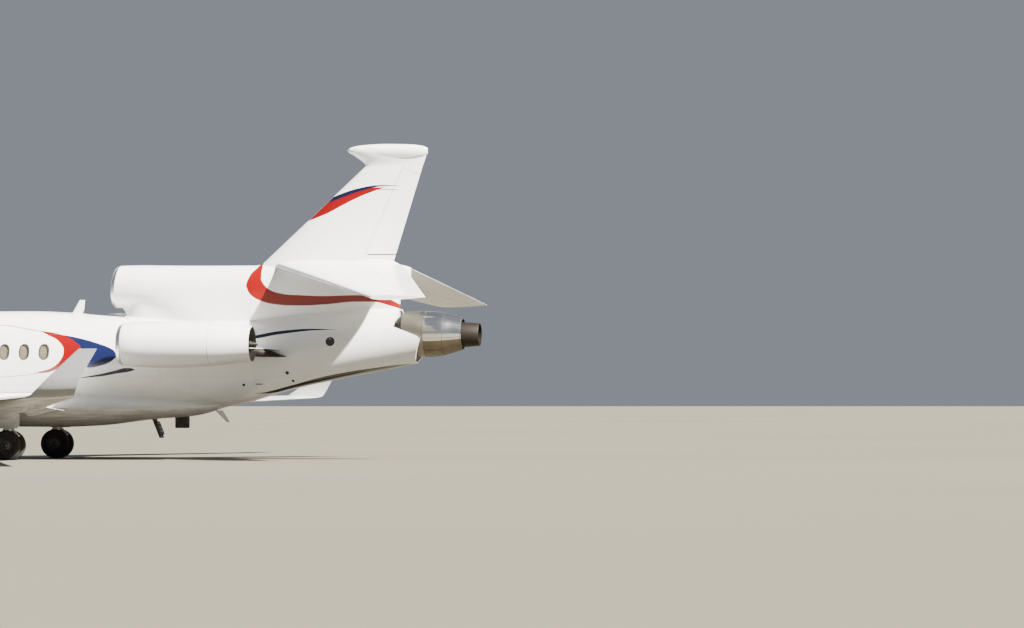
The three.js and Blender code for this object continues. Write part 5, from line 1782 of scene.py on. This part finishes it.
class JET_OT_nose_gear(bpy.types.Operator):
    """Builds the nose leg, its turning post and the open bay above it"""

    bl_idname = "jet.nose_gear"
    bl_label = "Nose gear"

    def execute(self, context):
        self.leg()
        self.fork()
        self.bay()
        return {"FINISHED"}

    def leg(self):
        leg = Kit(at(NOSE_GEAR["station"], 0, 0))
        leg.spun(NOSE_LEG, 40)
        leg.rod((-0.078, 0, 1.06), (-0.64, 0, 1.59), 0.032, sides=20, bevel=0.004)
        leg.rod((0, -0.235, 1.48), (0, 0.235, 1.48), 0.04, sides=24, bevel=0.004)
        for side in (1, -1):
            leg.rod((-0.1, side * 0.05, 1.05), (-0.1, side * 0.02, 1.05), 0.05, sides=20, bevel=0.004)
            y = side * 0.085
            leg.rod((-0.155, y, 0.92), (-0.08, y, 0.92), 0.05, 0.03, 24, 0.003)
            leg.rod((-0.158, y, 0.92), (-0.154, y, 0.92), 0.044, sides=24, index=3)
            leg.rod((-0.1, y, 0.92), (0, side * 0.06, 0.9), 0.014)
        leg.tube([(0.09 + 0.012 * math.sin(z * 9), 0.03, z) for z in steps(0.78, 1.56, 12)], 0.009, index=2)
        finish_piece("nose_leg_tube", leg, "gear_paint chrome hose clear_lens", ["nose_leg"])

    def fork(self):
        fork = Kit(at(NOSE_GEAR["station"], 0, 0))
        fork.rod((0, 0, 0.33), (0, 0, 1.43), 0.05, sides=32, index=1)
        fork.block((-0.07, -0.052, 0.15), (0.07, 0.052, 0.4), 0.018, 3)
        fork.block((-0.13, -0.045, 0.25), (-0.04, 0.045, 0.35), 0.012, 3)
        fork.rod((-0.105, 0, 0.24), (-0.105, 0, 0.36), 0.018, sides=20)
        fork.rod((0, 0, 0.4), (0, 0, 0.45), 0.066, sides=32, bevel=0.006)
        fork.rod((0, 0, 0.715), (0, 0, 0.752), 0.08, sides=40, bevel=0.006)
        for z in (0.37, 0.735):
            for side in (1, -1):
                fork.rod((0.06, side * 0.035, z), (0.19, side * 0.0175, 0.56), 0.014, sides=12)
        fork.rod((0.19, -0.045, 0.56), (0.19, 0.045, 0.56), 0.018, sides=16, bevel=0.003)
        nodes = ["nose_fork"]
        finish_piece("nose_fork_post", fork, "gear_paint chrome", nodes, "nose_steering")

    def bay(self):
        """The bay's box with its ribs and pipes, and two doors that hang open."""
        x0, x1, wall = BAY["from"] + SEAT, BAY["to"] - SEAT, 0.018
        half, roof = BAY["half"] - SEAT, BAY["roof"] - SEAT
        inner, under = half - wall, roof - wall
        box = block(at(x0, -half, 1.262), at(x1, half, roof))
        box = boolean(box, block(at(x0 + wall, -inner, 0.9), at(x1 - wall, inner, under)))
        bay = Kit(at(0, 0, 0))
        bay.keep(boolean(box, filled(skin, 1.8, 4.3, 60, -0.006), "INTERSECT"), 1)
        for x in steps(x0 + 0.14, x1 - 0.14, 6):
            for side in (1, -1):
                start = (x - 0.006, side * (inner - 0.02), 1.36)
                bay.block(start, (x + 0.006, side * (inner + 0.002), under), 0.002, index=1)
        for y, z in ((0.2, 1.57), (-0.21, 1.55), (-0.19, 1.58)):
            bay.tube([(x, y + 0.006 * math.sin(5 * x), z) for x in steps(2.4, 3.7, 20)], 0.008, index=2)
        for side in (1, -1):
            y = side * (BAY["half"] - wall / 2)
            door = block(at(2.41, y - 0.009, 0.96), at(3.7, y + 0.009, 1.5), 0.007, 3)
            bay.append(boolean(door, filled(skin, 1.8, 4.3, 60, 0.003)))
            bay.block((2.46, y - side * 0.012, 1.0), (3.65, y - side * 0.004, 1.24), 0.004, index=1)
            for x in (2.6, 3.05, 3.5):
                bay.block((x - 0.015, y - side * 0.045, 1.18), (x + 0.015, y, 1.45), 0.006, index=1)
        finish_piece("nose_bay_box", bay, "white_paint gear_paint hose", ["nose_bay"])


class JET_OT_main_gear(bpy.types.Operator):
    """Builds the two main legs with their braces, links, pipes and door plates"""

    bl_idname = "jet.main_gear"
    bl_label = "Main gear"

    def execute(self, context):
        leg = Kit(at(MAIN_GEAR["station"], MAIN_SIDE, 0))
        leg.rod((0, 0, 0.44), (0, 0, 0.78), 0.068, sides=40, index=1)
        leg.spun(MAIN_LEG, 48)
        leg.block((-0.095, -0.072, 0.27), (0.095, 0.072, 0.48), 0.03, 4)
        leg.rod((0, 0, 0.46), (0, 0, 0.52), 0.088, 0.074, 40, 0.006)
        leg.rod((-0.03, 0, 0.85), (-0.56, -0.25, 1.25), 0.038, sides=24, bevel=0.004)
        leg.rod((0, -0.04, 0.9), (0, -0.56, 1.235), 0.045, sides=24, bevel=0.004)
        leg.rod((0, -0.3, 1.067), (0, -0.5, 1.196), 0.03, sides=24, index=1)
        self.links(leg)
        self.pipes(leg)
        leg.block((-0.06, 0.06, 0.85), (0.06, 0.175, 1.0), 0.012, 3)
        door = plate(MAIN_DOOR, Vector((0, 0.022, 0)), lambda x, z: leg.origin + Vector((x, 0.17, z)), 0.008)
        leg.keep(door, 4)
        for z in (0.9, 1.06, 1.2):
            leg.block((-0.26, 0.155, z - 0.012), (0.29, 0.172, z + 0.012), 0.005)
        materials = "gear_paint chrome hose satin_metal white_paint"
        both_sides("main_leg_*_strut", joined(*leg), materials, ["main_leg_*"])
        return {"FINISHED"}

    def links(self, leg):
        """The two links that keep the piston from turning."""
        leg.rod((0.26, -0.06, 0.61), (0.26, 0.06, 0.61), 0.022, sides=20, bevel=0.004)
        for x, z in ((0.09, 0.79), (0.085, 0.44)):
            for side in (1, -1):
                leg.rod((x, side * 0.06, z), (0.26, side * 0.03, 0.61), 0.02, 0.015, 14)
            leg.rod((x, -0.075, z), (x, 0.075, z), 0.024, sides=20, bevel=0.004)

    def pipes(self, leg):
        """Brake hoses down the leg to the axle."""
        for off, drift in ((0.05, 0.012), (-0.05, -0.01), (0.0, 0.016)):
            points = [(-0.112 - 0.008 * math.sin(z * 20 + off), off, z) for z in steps(1.24, 0.78, 8)]
            for share in steps(0, 1, 8)[1:]:
                bulge = 0.05 * math.sin(math.pi * share)
                points.append((-0.12 - bulge, off + drift * share * 4, 0.78 - 0.38 * share))
            leg.tube(points, 0.0085, index=2)
        for z in (0.84, 1.0, 1.18):
            leg.block((-0.13, -0.065, z), (-0.098, 0.065, z + 0.014), 0.003, index=3)


STEP_LEAN = math.radians(47)  # of the treads in the closed door


class JET_OT_door(bpy.types.Operator):
    """Builds the passenger door with its steps, rails and knuckles"""

    bl_idname = "jet.door"
    bl_label = "Passenger door"

    def execute(self, context):
        x0, x1, sill, top, hinge = [DOOR[key] for key in ("from", "to", "sill", "top", "hinge")]
        leaf = Kit(at(0, 0, 0))
        opening = prism(door_opening(0.007), -1.6, -0.5)
        door = boolean(shell(skin, 3.4, 4.7, 40, WALL, 128), opening, "INTERSECT")
        leaf.append(with_material(door, 1, inner_face(skin, -WALL * 0.5)))
        inside = filled(skin, 3.4, 4.7, 20, -WALL + 0.02)
        frames = []
        for x in (x0 + 0.01, x1 - 0.05):
            frames.append(block(at(x, -1.3, sill + 0.01), at(x + 0.04, -0.79, top - 0.01), 0.008))
        leaf.keep(boolean(joined(*frames), inside.copy(), "INTERSECT"), 2)
        half = (x1 - x0) / 2 - 0.02
        tread = (-half, -0.115, -0.015), (half, 0.115, 0.015), 0.006
        grip = (-half + 0.04, -0.105, -0.018), (half - 0.04, 0.105, 0.0), 0.003
        for index, shape in ((2, tread), (3, grip)):
            rows = [at((x0 + x1) / 2, -0.85, sill + 0.18 + 0.31 * i) for i in range(5)]
            treads = joined(*[moved(block(*shape), row, STEP_LEAN) for row in rows])
            leaf.keep(boolean(treads, inside.copy(), "INTERSECT"), index)
        inside.free()
        for x in (x0 + 0.06, x1 - 0.06):
            line = ((-0.8, 0.3), (-0.77, 0.5), (-0.765, 1.2), (-0.8, 1.4))
            leaf.tube([(x, y, sill + rise) for y, rise in line], 0.012, 12, index=4)
        for x in (x0 + 0.008, x1 - 0.068):
            leaf.rod((x, hinge, sill), (x + 0.06, hinge, sill), 0.015, sides=24, bevel=0.002, index=4)
            leaf.block((x, hinge - 0.008, sill + 0.005), (x + 0.06, -0.905, sill + 0.042), 0.004, index=4)
        handle = on_wall([(x0 + 0.62, 2.42), (x0 + 0.76, 2.42)], -1, -0.004)
        leaf.keep(rod(*handle, 0.012, sides=16, bevel=0.003), 4)
        materials = "fuselage_paint liner gear_paint dark_trim satin_metal"
        name = "passenger_door"
        finish_piece(f"{name}_leaf", leaf, materials, [name], name)
        return {"FINISHED"}


def cushion(size, channels, middle, turn=0.0):
    """A crowned pad whose sides pull in between its corners, with sewn channels across it."""
    bm = bmesh.new()
    bmesh.ops.create_cube(bm, size=2)
    bmesh.ops.subdivide_edges(bm, edges=bm.edges[:], cuts=11, use_grid_fill=True)
    for corner in bm.verts:
        u, v, w = corner.co / sum(abs(part) ** 7 for part in corner.co) ** (1 / 7)
        sewn = 0.16 * sum(math.exp(-(((u - place) / 0.09) ** 2)) for place in channels)
        high = w * (1 + 0.28 * (1 - u * u) * (1 - v * v) - sewn * (1 - v**4))
        seam = 1 - 0.03 * math.exp(-(((w - 0.45) / 0.15) ** 2))
        corner.co = (u * seam * (1 - 0.04 * (1 - v * v)), v * seam * (1 - 0.06 * (1 - u * u)), high / 1.28)
    bmesh.ops.scale(bm, vec=Vector(size) / 2, verts=bm.verts)
    return moved(bm, middle, turn, "Y")


SEAT_WIDTH = 0.56
FIRST_SEAT, SEAT_PITCH, SEAT_SIDE = 6.1, 1.15, 0.6
CREW_SEAT, CREW_WIDTH, CREW_SIDE = 3.2, 0.43, 0.5


def seat_shape(station, y, aft, width=SEAT_WIDTH):
    """The cushions of one seat: seat pad, back, head rest and arm rests. Aft is 1 where it looks aft."""
    upright = math.radians(-96)
    pads = [
        cushion((0.5, width - 0.16, 0.16), (-0.35, 0.35), (-0.01, 0, 0.38)),
        cushion((0.72, width - 0.12, 0.15), (-0.5, 0.0, 0.5), (-0.225, 0, 0.76), upright),
        cushion((0.2, width - 0.24, 0.12), (), (-0.275, 0, 1.0), upright),
    ]
    pads += [cushion((0.42, 0.09, 0.08), (), (0.01, side * (width / 2 - 0.045), 0.54)) for side in (1, -1)]
    return moved(joined(*pads), at(station, y, FLOOR), scale=(aft, 1, 1))


def seat_base(station, y, width=SEAT_WIDTH):
    """The shell under a seat and its foot."""
    base = Kit(at(station, y, FLOOR))
    base.block((-0.2, -0.16, SEAT), (0.2, 0.16, 0.08), 0.012)
    base.block((-0.22, -width / 2 + 0.07, 0.08), (0.22, width / 2 - 0.07, 0.31), 0.04, 3)
    for side in (1, -1):
        base.block((-0.2, side * (width / 2 - 0.065), 0.12), (0.22, side * (width / 2 - 0.02), 0.51), 0.015)
    return base


class JET_OT_interior(bpy.types.Operator):
    """Builds the cabin floor, seats, side ledges and the cockpit"""

    bl_idname = "jet.interior"
    bl_label = "Interior"

    def execute(self, context):
        inside = filled(skin, 1.5, 13.3, 70, -WALL - SEAT)
        floor = block(at(1.9, -1.3, FLOOR - 0.06), at(13.298, 1.3, FLOOR))
        floor = boolean(floor, inside.copy(), "INTERSECT")
        floor = boolean(floor, block(at(DOOR["from"] - 0.06, -1.3, 1.5), at(DOOR["to"] + 0.06, -0.73, 1.8)))
        finish_piece("cabin_carpet", floor, "carpet", ["cabin_floor"])
        for side_name, side in SIDES.items():
            self.seats(side_name, side, inside.copy())
        inside.free()
        self.cockpit()
        for side_name, side in SIDES.items():
            y = side * CREW_SIDE
            cushions = seat_shape(CREW_SEAT, y, -1, CREW_WIDTH)
            pads = finish_piece(f"crew_cushions_{side_name}", cushions, "leather")
            name, base = f"crew_seat_{side_name}", seat_base(CREW_SEAT, y, CREW_WIDTH)
            finish_piece(f"{name}_base", base, "dark_trim", [name])
        return {"FINISHED"}

    def seats(self, side_name, side, inside):
        """Six seats in facing pairs, and the ledge with tables under the windows."""
        pads, ledge = [], Kit(at(0, 0, 0))
        for i in range(6):
            station = FIRST_SEAT + SEAT_PITCH * i
            pads.append(seat_shape(station, side * SEAT_SIDE, -1 if i % 2 else 1))
            ledge += seat_base(station, side * SEAT_SIDE)
        cushions = finish_piece(f"cabin_cushions_{side_name}", pads, "leather")
        shelf = block(at(5.7, side * 1.01 - 0.11, FLOOR + SEAT), at(12.9, side * 1.2 + 0.2, 2.13), 0.012)
        ledge.append(with_material(boolean(shelf, inside, "INTERSECT"), 1, lambda centre: centre.z > 2.1))
        for x in (6.675, 8.975, 11.275):
            y = side * 0.68
            ledge.block((x - 0.28, y - 0.28, 2.345), (x + 0.28, y + 0.28, 2.37), 0.01, index=1)
            ledge.rod((x, side * 0.9, 2.1), (x, side * 0.9, 2.35), 0.03, sides=20)
        nodes = [f"cabin_seats_{side_name}"]
        finish_piece(f"cabin_ledge_{side_name}", ledge, "liner wood", nodes)

    def cockpit(self):
        """Instrument panel with screens, pedestal, knobs and control wheels."""
        foot, cockpit = FLOOR + SEAT, Kit(at(0, 0, 0))
        outline = [(1.95, foot), (2.12, foot), (2.18, 2.2), (2.23, 2.5), (2.17, 2.56), (1.95, 2.56)]
        panel = plate(outline, Vector((0, 2.2, 0)), lambda x, z: at(x, -1.1, z), 0.02)
        cockpit.append(boolean(panel, filled(skin, 1.5, 3.34, 30, -WALL - SEAT), "INTERSECT"))
        outline = [(2.15, foot), (2.9, foot), (2.9, 2.12), (2.78, 2.2), (2.2, 2.28)]
        cockpit.append(plate(outline, Vector((0, 0.38, 0)), lambda x, z: at(x, -0.19, z), 0.02))
        for y in (-0.62, -0.3, 0.3, 0.62):
            screen = block((-0.006, -0.13, -0.09), (0.006, 0.13, 0.09), 0.004)
            cockpit.keep(moved(screen, at(2.207, y, 2.37), -0.16, "Y"), 1)
        for x in (2.4, 2.58):
            screen = block((-0.07, -0.13, -0.005), (0.07, 0.13, 0.005), 0.003)
            cockpit.keep(moved(screen, at(x, 0, 2.262 - 0.14 * (x - 2.3)), 0.14, "Y"), 1)
        for i in range(6):
            x, y = 2.7 + 0.03 * (i % 2), -0.1 + 0.04 * i
            cockpit.rod((x, y, 2.2), (x, y, 2.23), 0.012, 0.009, 12, index=2)
        for y in (CREW_SIDE, -CREW_SIDE):
            line = ((-0.12, 2.33), (-0.1, 2.25), (0.1, 2.25), (0.12, 2.33))
            cockpit.tube([(2.52, y + off, z) for off, z in line], 0.014, index=2)
            cockpit.rod((2.28, y, 2.1), (2.52, y, 2.25), 0.02, index=2)
        finish_piece("cockpit_panel", cockpit, "dark_trim screen seal", ["instrument_panel"])


HATCH_PIN = 15.014  # station of its hinge


class JET_OT_hatch(bpy.types.Operator):
    """Builds the belly hatch that hangs open and its hinge"""

    bl_idname = "jet.hatch"
    bl_label = "Belly hatch"

    def execute(self, context):
        belly = context.scene.jet_belly
        pin_at = at(HATCH_PIN, 0, 1.04)
        long, half = belly.hatch_to - HATCH_PIN - 0.015, belly.hatch_half - 0.015
        leaf = Kit()
        leaf.block((0.02, -half, -0.028), (long, half, -0.006), 0.008, 3)
        leaf.block((0.1, -half + 0.035, -0.01), (long - 0.07, half - 0.035, 0.052), 0.02, 3)
        for x in (0.16, 0.27, 0.38):
            leaf.block((x - 0.012, -half + 0.06, 0.047), (x + 0.012, half - 0.06, 0.062), 0.004, index=1)
        for y in (-0.1, 0.07):
            leaf.rod((0, y, 0), (0, y + 0.03, 0), 0.015, sides=20, index=1)
            leaf.block((0, y, -0.02), (0.04, y + 0.03, -0.002), 0.003, index=1)
        leaf = moved(joined(*leaf), pin_at, math.radians(68), "Y")
        name = "belly_hatch"
        finish_piece(f"{name}_leaf", leaf, "dark_paint gear_paint", [name], name)
        hinge = Kit(pin_at)
        top = at(15.028, 0.06, belly.hatch_roof - SEAT)
        hinge.append(block(at(belly.hatch_from + 0.006, -0.06, 1.026), top, 0.003))
        hinge.rod((0, -0.104, 0), (0, 0.104, 0), 0.008, index=1)
        finish_piece("hatch_hinge_lug", hinge, "gear_paint satin_metal", ["hatch_hinge"])
        return {"FINISHED"}


# Blade aerials: station, height of the foot, chord, rise (below zero where it hangs), sweep
AERIALS = [
    (12.84, 3.69, 0.3, 0.35, 0.2),
    (6.3, 3.745, 0.26, 0.26, 0.14),
    (9.4, 1.0, 0.24, -0.2, 0.1),
    (16.58, 1.24, 0.2, -0.3, 0.3),
    (5.9, 1.22, 0.24, -0.2, 0.12),
]
# The low dome on the back: share of its length, half width, height
DOME = [(0, 0.02, 0.06), (0.15, 0.09, 0.1), (0.5, 0.12, 0.115), (0.85, 0.09, 0.1), (1, 0.02, 0.06)]
# Round ports in the tail: station, height, radius; and a slot beside them
PORTS = [(19.71, 2.96, 0.115), (17.5, 1.88, 0.035), (18.6, 2.18, 0.045), (18.71, 1.98, 0.035)]
SLOT = [(17.79, 1.885), (17.96, 1.885), (17.96, 1.91), (17.79, 1.91)]


def blade_aerial(station, height, chord, rise, sweep):
    """A thin swept blade."""
    rings = []
    for share in steps(0, 1, 6):
        nose, long = station + sweep * share, chord * (1 - 0.55 * share)
        half, z = 0.012 * (1 - 0.5 * share), height + rise * share
        rings.append([at(nose + long * (1 - math.cos(t)) / 2, half * math.sin(t), z) for t in turns(20)])
    return loft(rings)


class JET_OT_fittings(bpy.types.Operator):
    """Adds aerials, probes, a lamp, ports and small marks"""

    bl_idname = "jet.fittings"
    bl_label = "Fittings"

    def execute(self, context):
        dome = []
        for share, half, rise in DOME:
            x = 13.76 + 0.7 * share
            dome.append([at(x, half * math.cos(t), 3.6 + rise * math.sin(t)) for t in turns(24)])
        aerials = [blade_aerial(*row) for row in AERIALS] + [loft(dome)]
        finish_piece("antennas", aerials, "white_paint")
        self.nose_probes()
        self.marks()
        outline = [(-0.02, 0.0), (-0.02, 0.05), (0.02, 0.05), (0.05, 0.035), (0.062, 0.0)]
        lamp = turned(outline, at(8.6, 0, 0.89), 32, (0, 0, -1))
        finish_piece("belly_lamp", lamp, "red_lens")
        return {"FINISHED"}

    def nose_probes(self):
        """Three bent probes and a vane on either side of the nose."""
        probes = Kit()
        for side in (1, -1):
            for station, z in ((1.75, 2.12), (2.0, 1.84), (2.1, 2.2)):
                probes.origin = at(station, side * wall_y(station, z), z)
                probes.rod((0, -side * 0.01, 0), (0, side * 0.06, 0), 0.02, 0.012, 16)
                probes.rod((0, side * 0.06, 0), (-0.11, side * 0.06, 0), 0.012, 0.006, 16)
            probes.origin = at(2.35, side * wall_y(2.35, 2.05), 2.05)
            probes.rod((0, -side * 0.01, 0), (0, side * 0.012, 0), 0.035, sides=24, bevel=0.003)
            probes.block((0, 0, -0.012), (0.07, side * 0.05, 0.006), 0.003)
        finish_piece("nose_probes", probes, "satin_metal")

    def marks(self):
        """Dark sheets level with the skin for the ports and slot in the tail, as painted shade that stands in
        for their openings, and a drain box below it.
        """
        outlines = [[(x + r * math.cos(t), z + r * math.sin(t)) for t in turns(28)] for x, z, r in PORTS]
        dark = [block(at(15.56, -0.11, 0.79), at(15.9, 0.11, 1.13), 0.03, 3)]
        for side in (1, -1):
            for outline in (*outlines, SLOT):
                middle = tuple(sum(column) / len(outline) for column in zip(*outline))
                # Each port and the slot is a flat dark sheet: painted shade in place of an opening
                dark.append(sheet_on_wall(outline, middle, side, (-0.0015, -0.0015), (0.004, 0.004)))
        finish_piece("dark_ports", dark, "soot")


class JET_OT_stage(bpy.types.Operator):
    """Lays the floor and sets the lights and the camera"""

    bl_idname = "jet.stage"
    bl_label = "Stage"

    def execute(self, context):
        view = context.scene.jet_stage
        bm = bmesh.new()
        bmesh.ops.create_circle(bm, cap_ends=True, segments=96, radius=view.floor_radius)
        mesh = bpy.data.meshes.new("floor")
        bm.to_mesh(mesh)
        bm.free()
        mesh.materials.append(material("floor_paint"))
        floor = self.placed("floor", mesh)
        camera = self.placed("camera", bpy.data.cameras.new("camera"))
        camera.data.lens = view.lens
        camera.data.clip_end = view.floor_radius + 100
        camera.location = view.camera_at
        camera.rotation_euler = (math.pi / 2 + view.pitch, 0, view.turn)
        context.scene.camera = camera
        self.lamp("sun", view.sun_from, view.sun_strength, view.sun_angle, view.sun_colour)
        self.lamp("fill", (-0.6, 0.6, 0.35), view.fill_strength, 0.7, (0.85, 0.92, 1.0))
        world = bpy.data.worlds.new("studio")
        world.use_nodes = True
        background = world.node_tree.nodes["Background"]
        background.inputs["Color"].default_value = (*view.sky_colour, 1)
        background.inputs["Strength"].default_value = view.sky_strength
        context.scene.world = world
        return {"FINISHED"}

    def placed(self, name, data):
        """An object of the scene for a mesh, camera or lamp."""
        made = bpy.data.objects.new(name, data)
        bpy.context.scene.collection.objects.link(made)
        return made

    def lamp(self, name, source, strength, angle, colour):
        """A distant lamp that shines from a direction."""
        data = bpy.data.lights.new(name, "SUN")
        data.energy, data.angle, data.color = strength, angle, colour
        self.placed(name, data).rotation_euler = Vector(source).to_track_quat("Z", "Y").to_euler()


def colour(name, description, value):
    return bpy.props.FloatVectorProperty(
        name=name, description=description, subtype="COLOR", size=3, min=0, max=1, default=value
    )


def length(name, description, value):
    return bpy.props.FloatProperty(
        name=name, description=description, subtype="DISTANCE", unit="LENGTH", default=value
    )


def angle(name, description, value):
    return bpy.props.FloatProperty(
        name=name, description=description, subtype="ANGLE", unit="ROTATION", default=value
    )


def number(name, description, value):
    return bpy.props.FloatProperty(name=name, description=description, default=value)


def direction(name, description, value):
    return bpy.props.FloatVectorProperty(
        name=name, description=description, subtype="XYZ", size=3, default=value
    )


class JetPaint(bpy.types.PropertyGroup):
    """Colours of the paint"""

    white: colour("White", "Fuselage, wings and tail", (0.84, 0.84, 0.825))
    red: colour("Red", "Sweeps on the tail and round the windows", (0.17, 0.0015, 0.0015))
    blue: colour("Blue", "Sweep behind the windows", (0.006, 0.0095, 0.045))
    navy: colour("Navy", "Thin dark sweeps", (0.004, 0.006, 0.026))
    grey: colour("Grey", "Pin lines along the fuselage", (0.2, 0.2, 0.21))
    black: colour("Black", "Stripe along the rear keel", (0.004, 0.004, 0.005))
    gear: colour("Gear", "Legs and wheels", (0.26, 0.26, 0.25))
    # The winglets' grey is painted shade: white paint darkened for their shaded outer faces
    winglet: colour("Winglet", "Winglets", (0.3, 0.305, 0.31))
    seam_width: length("Seam width", "Width of the joints between skin panels", 0.005)


class JetBody(bpy.types.PropertyGroup):
    """Cabin windows"""

    window_last: length("Last window", "Station of the rearmost window", 12.46)
    window_pitch: length("Window pitch", "Distance between windows", 0.515)
    window_count: bpy.props.IntProperty(
        name="Windows", description="Number of windows on each side", min=1, max=15, default=14
    )
    window_height: length("Window height", "Height of the middle of the windows", 2.712)
    window_width: length("Window width", "Width of a window", 0.25)
    window_tall: length("Window opening", "Height of a window's opening", 0.38)
    blinds: bpy.props.FloatVectorProperty(
        name="Blinds",
        description="How far the blinds are drawn, window after window, ahead of the rear three",
        size=5,
        default=(1, 0.35, 0.2, 0.6, 0.25),
    )


class JetBelly(bpy.types.PropertyGroup):
    """Access hatch under the belly"""

    hatch_from: length("Hatch from", "Station of the opening's front edge", 14.98)
    hatch_to: length("Hatch to", "Station of the opening's rear edge", 15.56)
    hatch_half: length("Hatch half width", "Half the width of the opening", 0.23)
    hatch_roof: length("Hatch roof", "Height of the opening's upper end", 1.15)


class JetEngines(bpy.types.PropertyGroup):
    """Side engines"""

    fan_blades: bpy.props.IntProperty(
        name="Fan blades", description="Number of blades", min=8, max=40, default=22
    )


class JetStage(bpy.types.PropertyGroup):
    """Camera, floor and light"""

    floor_radius: length("Floor radius", "Radius of the floor", 900.0)
    lens: number("Lens", "Focal length in millimetres", 147.66)
    pitch: angle("Pitch", "How far the camera looks up", 0.020474)
    turn: angle("Turn", "How far the camera is turned", 0.171042)
    camera_at: direction("Camera", "Place of the camera", (30.35, -103.332, 1.5))
    sun_from: direction("Sun", "Direction towards the main lamp", (0.73, -0.355, 0.7))
    sun_strength: number("Sun strength", "Strength of the main lamp", 34.0)
    sun_angle: angle("Sun width", "Width of the main lamp", 0.03)
    sun_colour: colour("Sun colour", "Colour of the main lamp", (1.0, 0.965, 0.9))
    fill_strength: number("Fill strength", "Strength of the weak lamp", 0.8)
    sky_colour: colour("Sky colour", "Colour of the surroundings", (0.8, 0.88, 1.0))
    sky_strength: number("Sky strength", "Strength of the surroundings", 0.3)


GROUPS_OF_SETTINGS = {
    "jet_paint": JetPaint,
    "jet_body": JetBody,
    "jet_belly": JetBelly,
    "jet_engines": JetEngines,
    "jet_stage": JetStage,
}
OPERATORS = (
    JET_OT_nose,
    JET_OT_cabin,
    JET_OT_rear_fuselage,
    JET_OT_belly,
    JET_OT_wings,
    JET_OT_tail,
    JET_OT_centre_intake,
    JET_OT_side_engines,
    JET_OT_centre_engine,
    JET_OT_wheels,
    JET_OT_nose_gear,
    JET_OT_main_gear,
    JET_OT_door,
    JET_OT_interior,
    JET_OT_hatch,
    JET_OT_fittings,
    JET_OT_stage,
)


class JET_PT_panel(bpy.types.Panel):
    """Lists the settings and the steps that build the aircraft"""

    bl_idname = "JET_PT_panel"
    bl_label = "Business jet"
    bl_space_type = "VIEW_3D"
    bl_region_type = "UI"
    bl_category = "Jet"

    def draw(self, context):
        for name, group in GROUPS_OF_SETTINGS.items():
            box = self.layout.box()
            for key in group.__annotations__:
                box.prop(getattr(context.scene, name), key)
        for operator in OPERATORS:
            self.layout.operator(operator.bl_idname)


def register():
    for kind in (*GROUPS_OF_SETTINGS.values(), *OPERATORS, JET_PT_panel):
        bpy.utils.register_class(kind)
    for name, group in GROUPS_OF_SETTINGS.items():
        setattr(bpy.types.Scene, name, bpy.props.PointerProperty(type=group))


def unregister():
    for name in GROUPS_OF_SETTINGS:
        delattr(bpy.types.Scene, name)
    for kind in reversed((*GROUPS_OF_SETTINGS.values(), *OPERATORS, JET_PT_panel)):
        bpy.utils.unregister_class(kind)


def main():
    register()
    for operator in OPERATORS:
        group, name = operator.bl_idname.split(".")
        getattr(getattr(bpy.ops, group), name)()


if __name__ == "__main__":
    main()
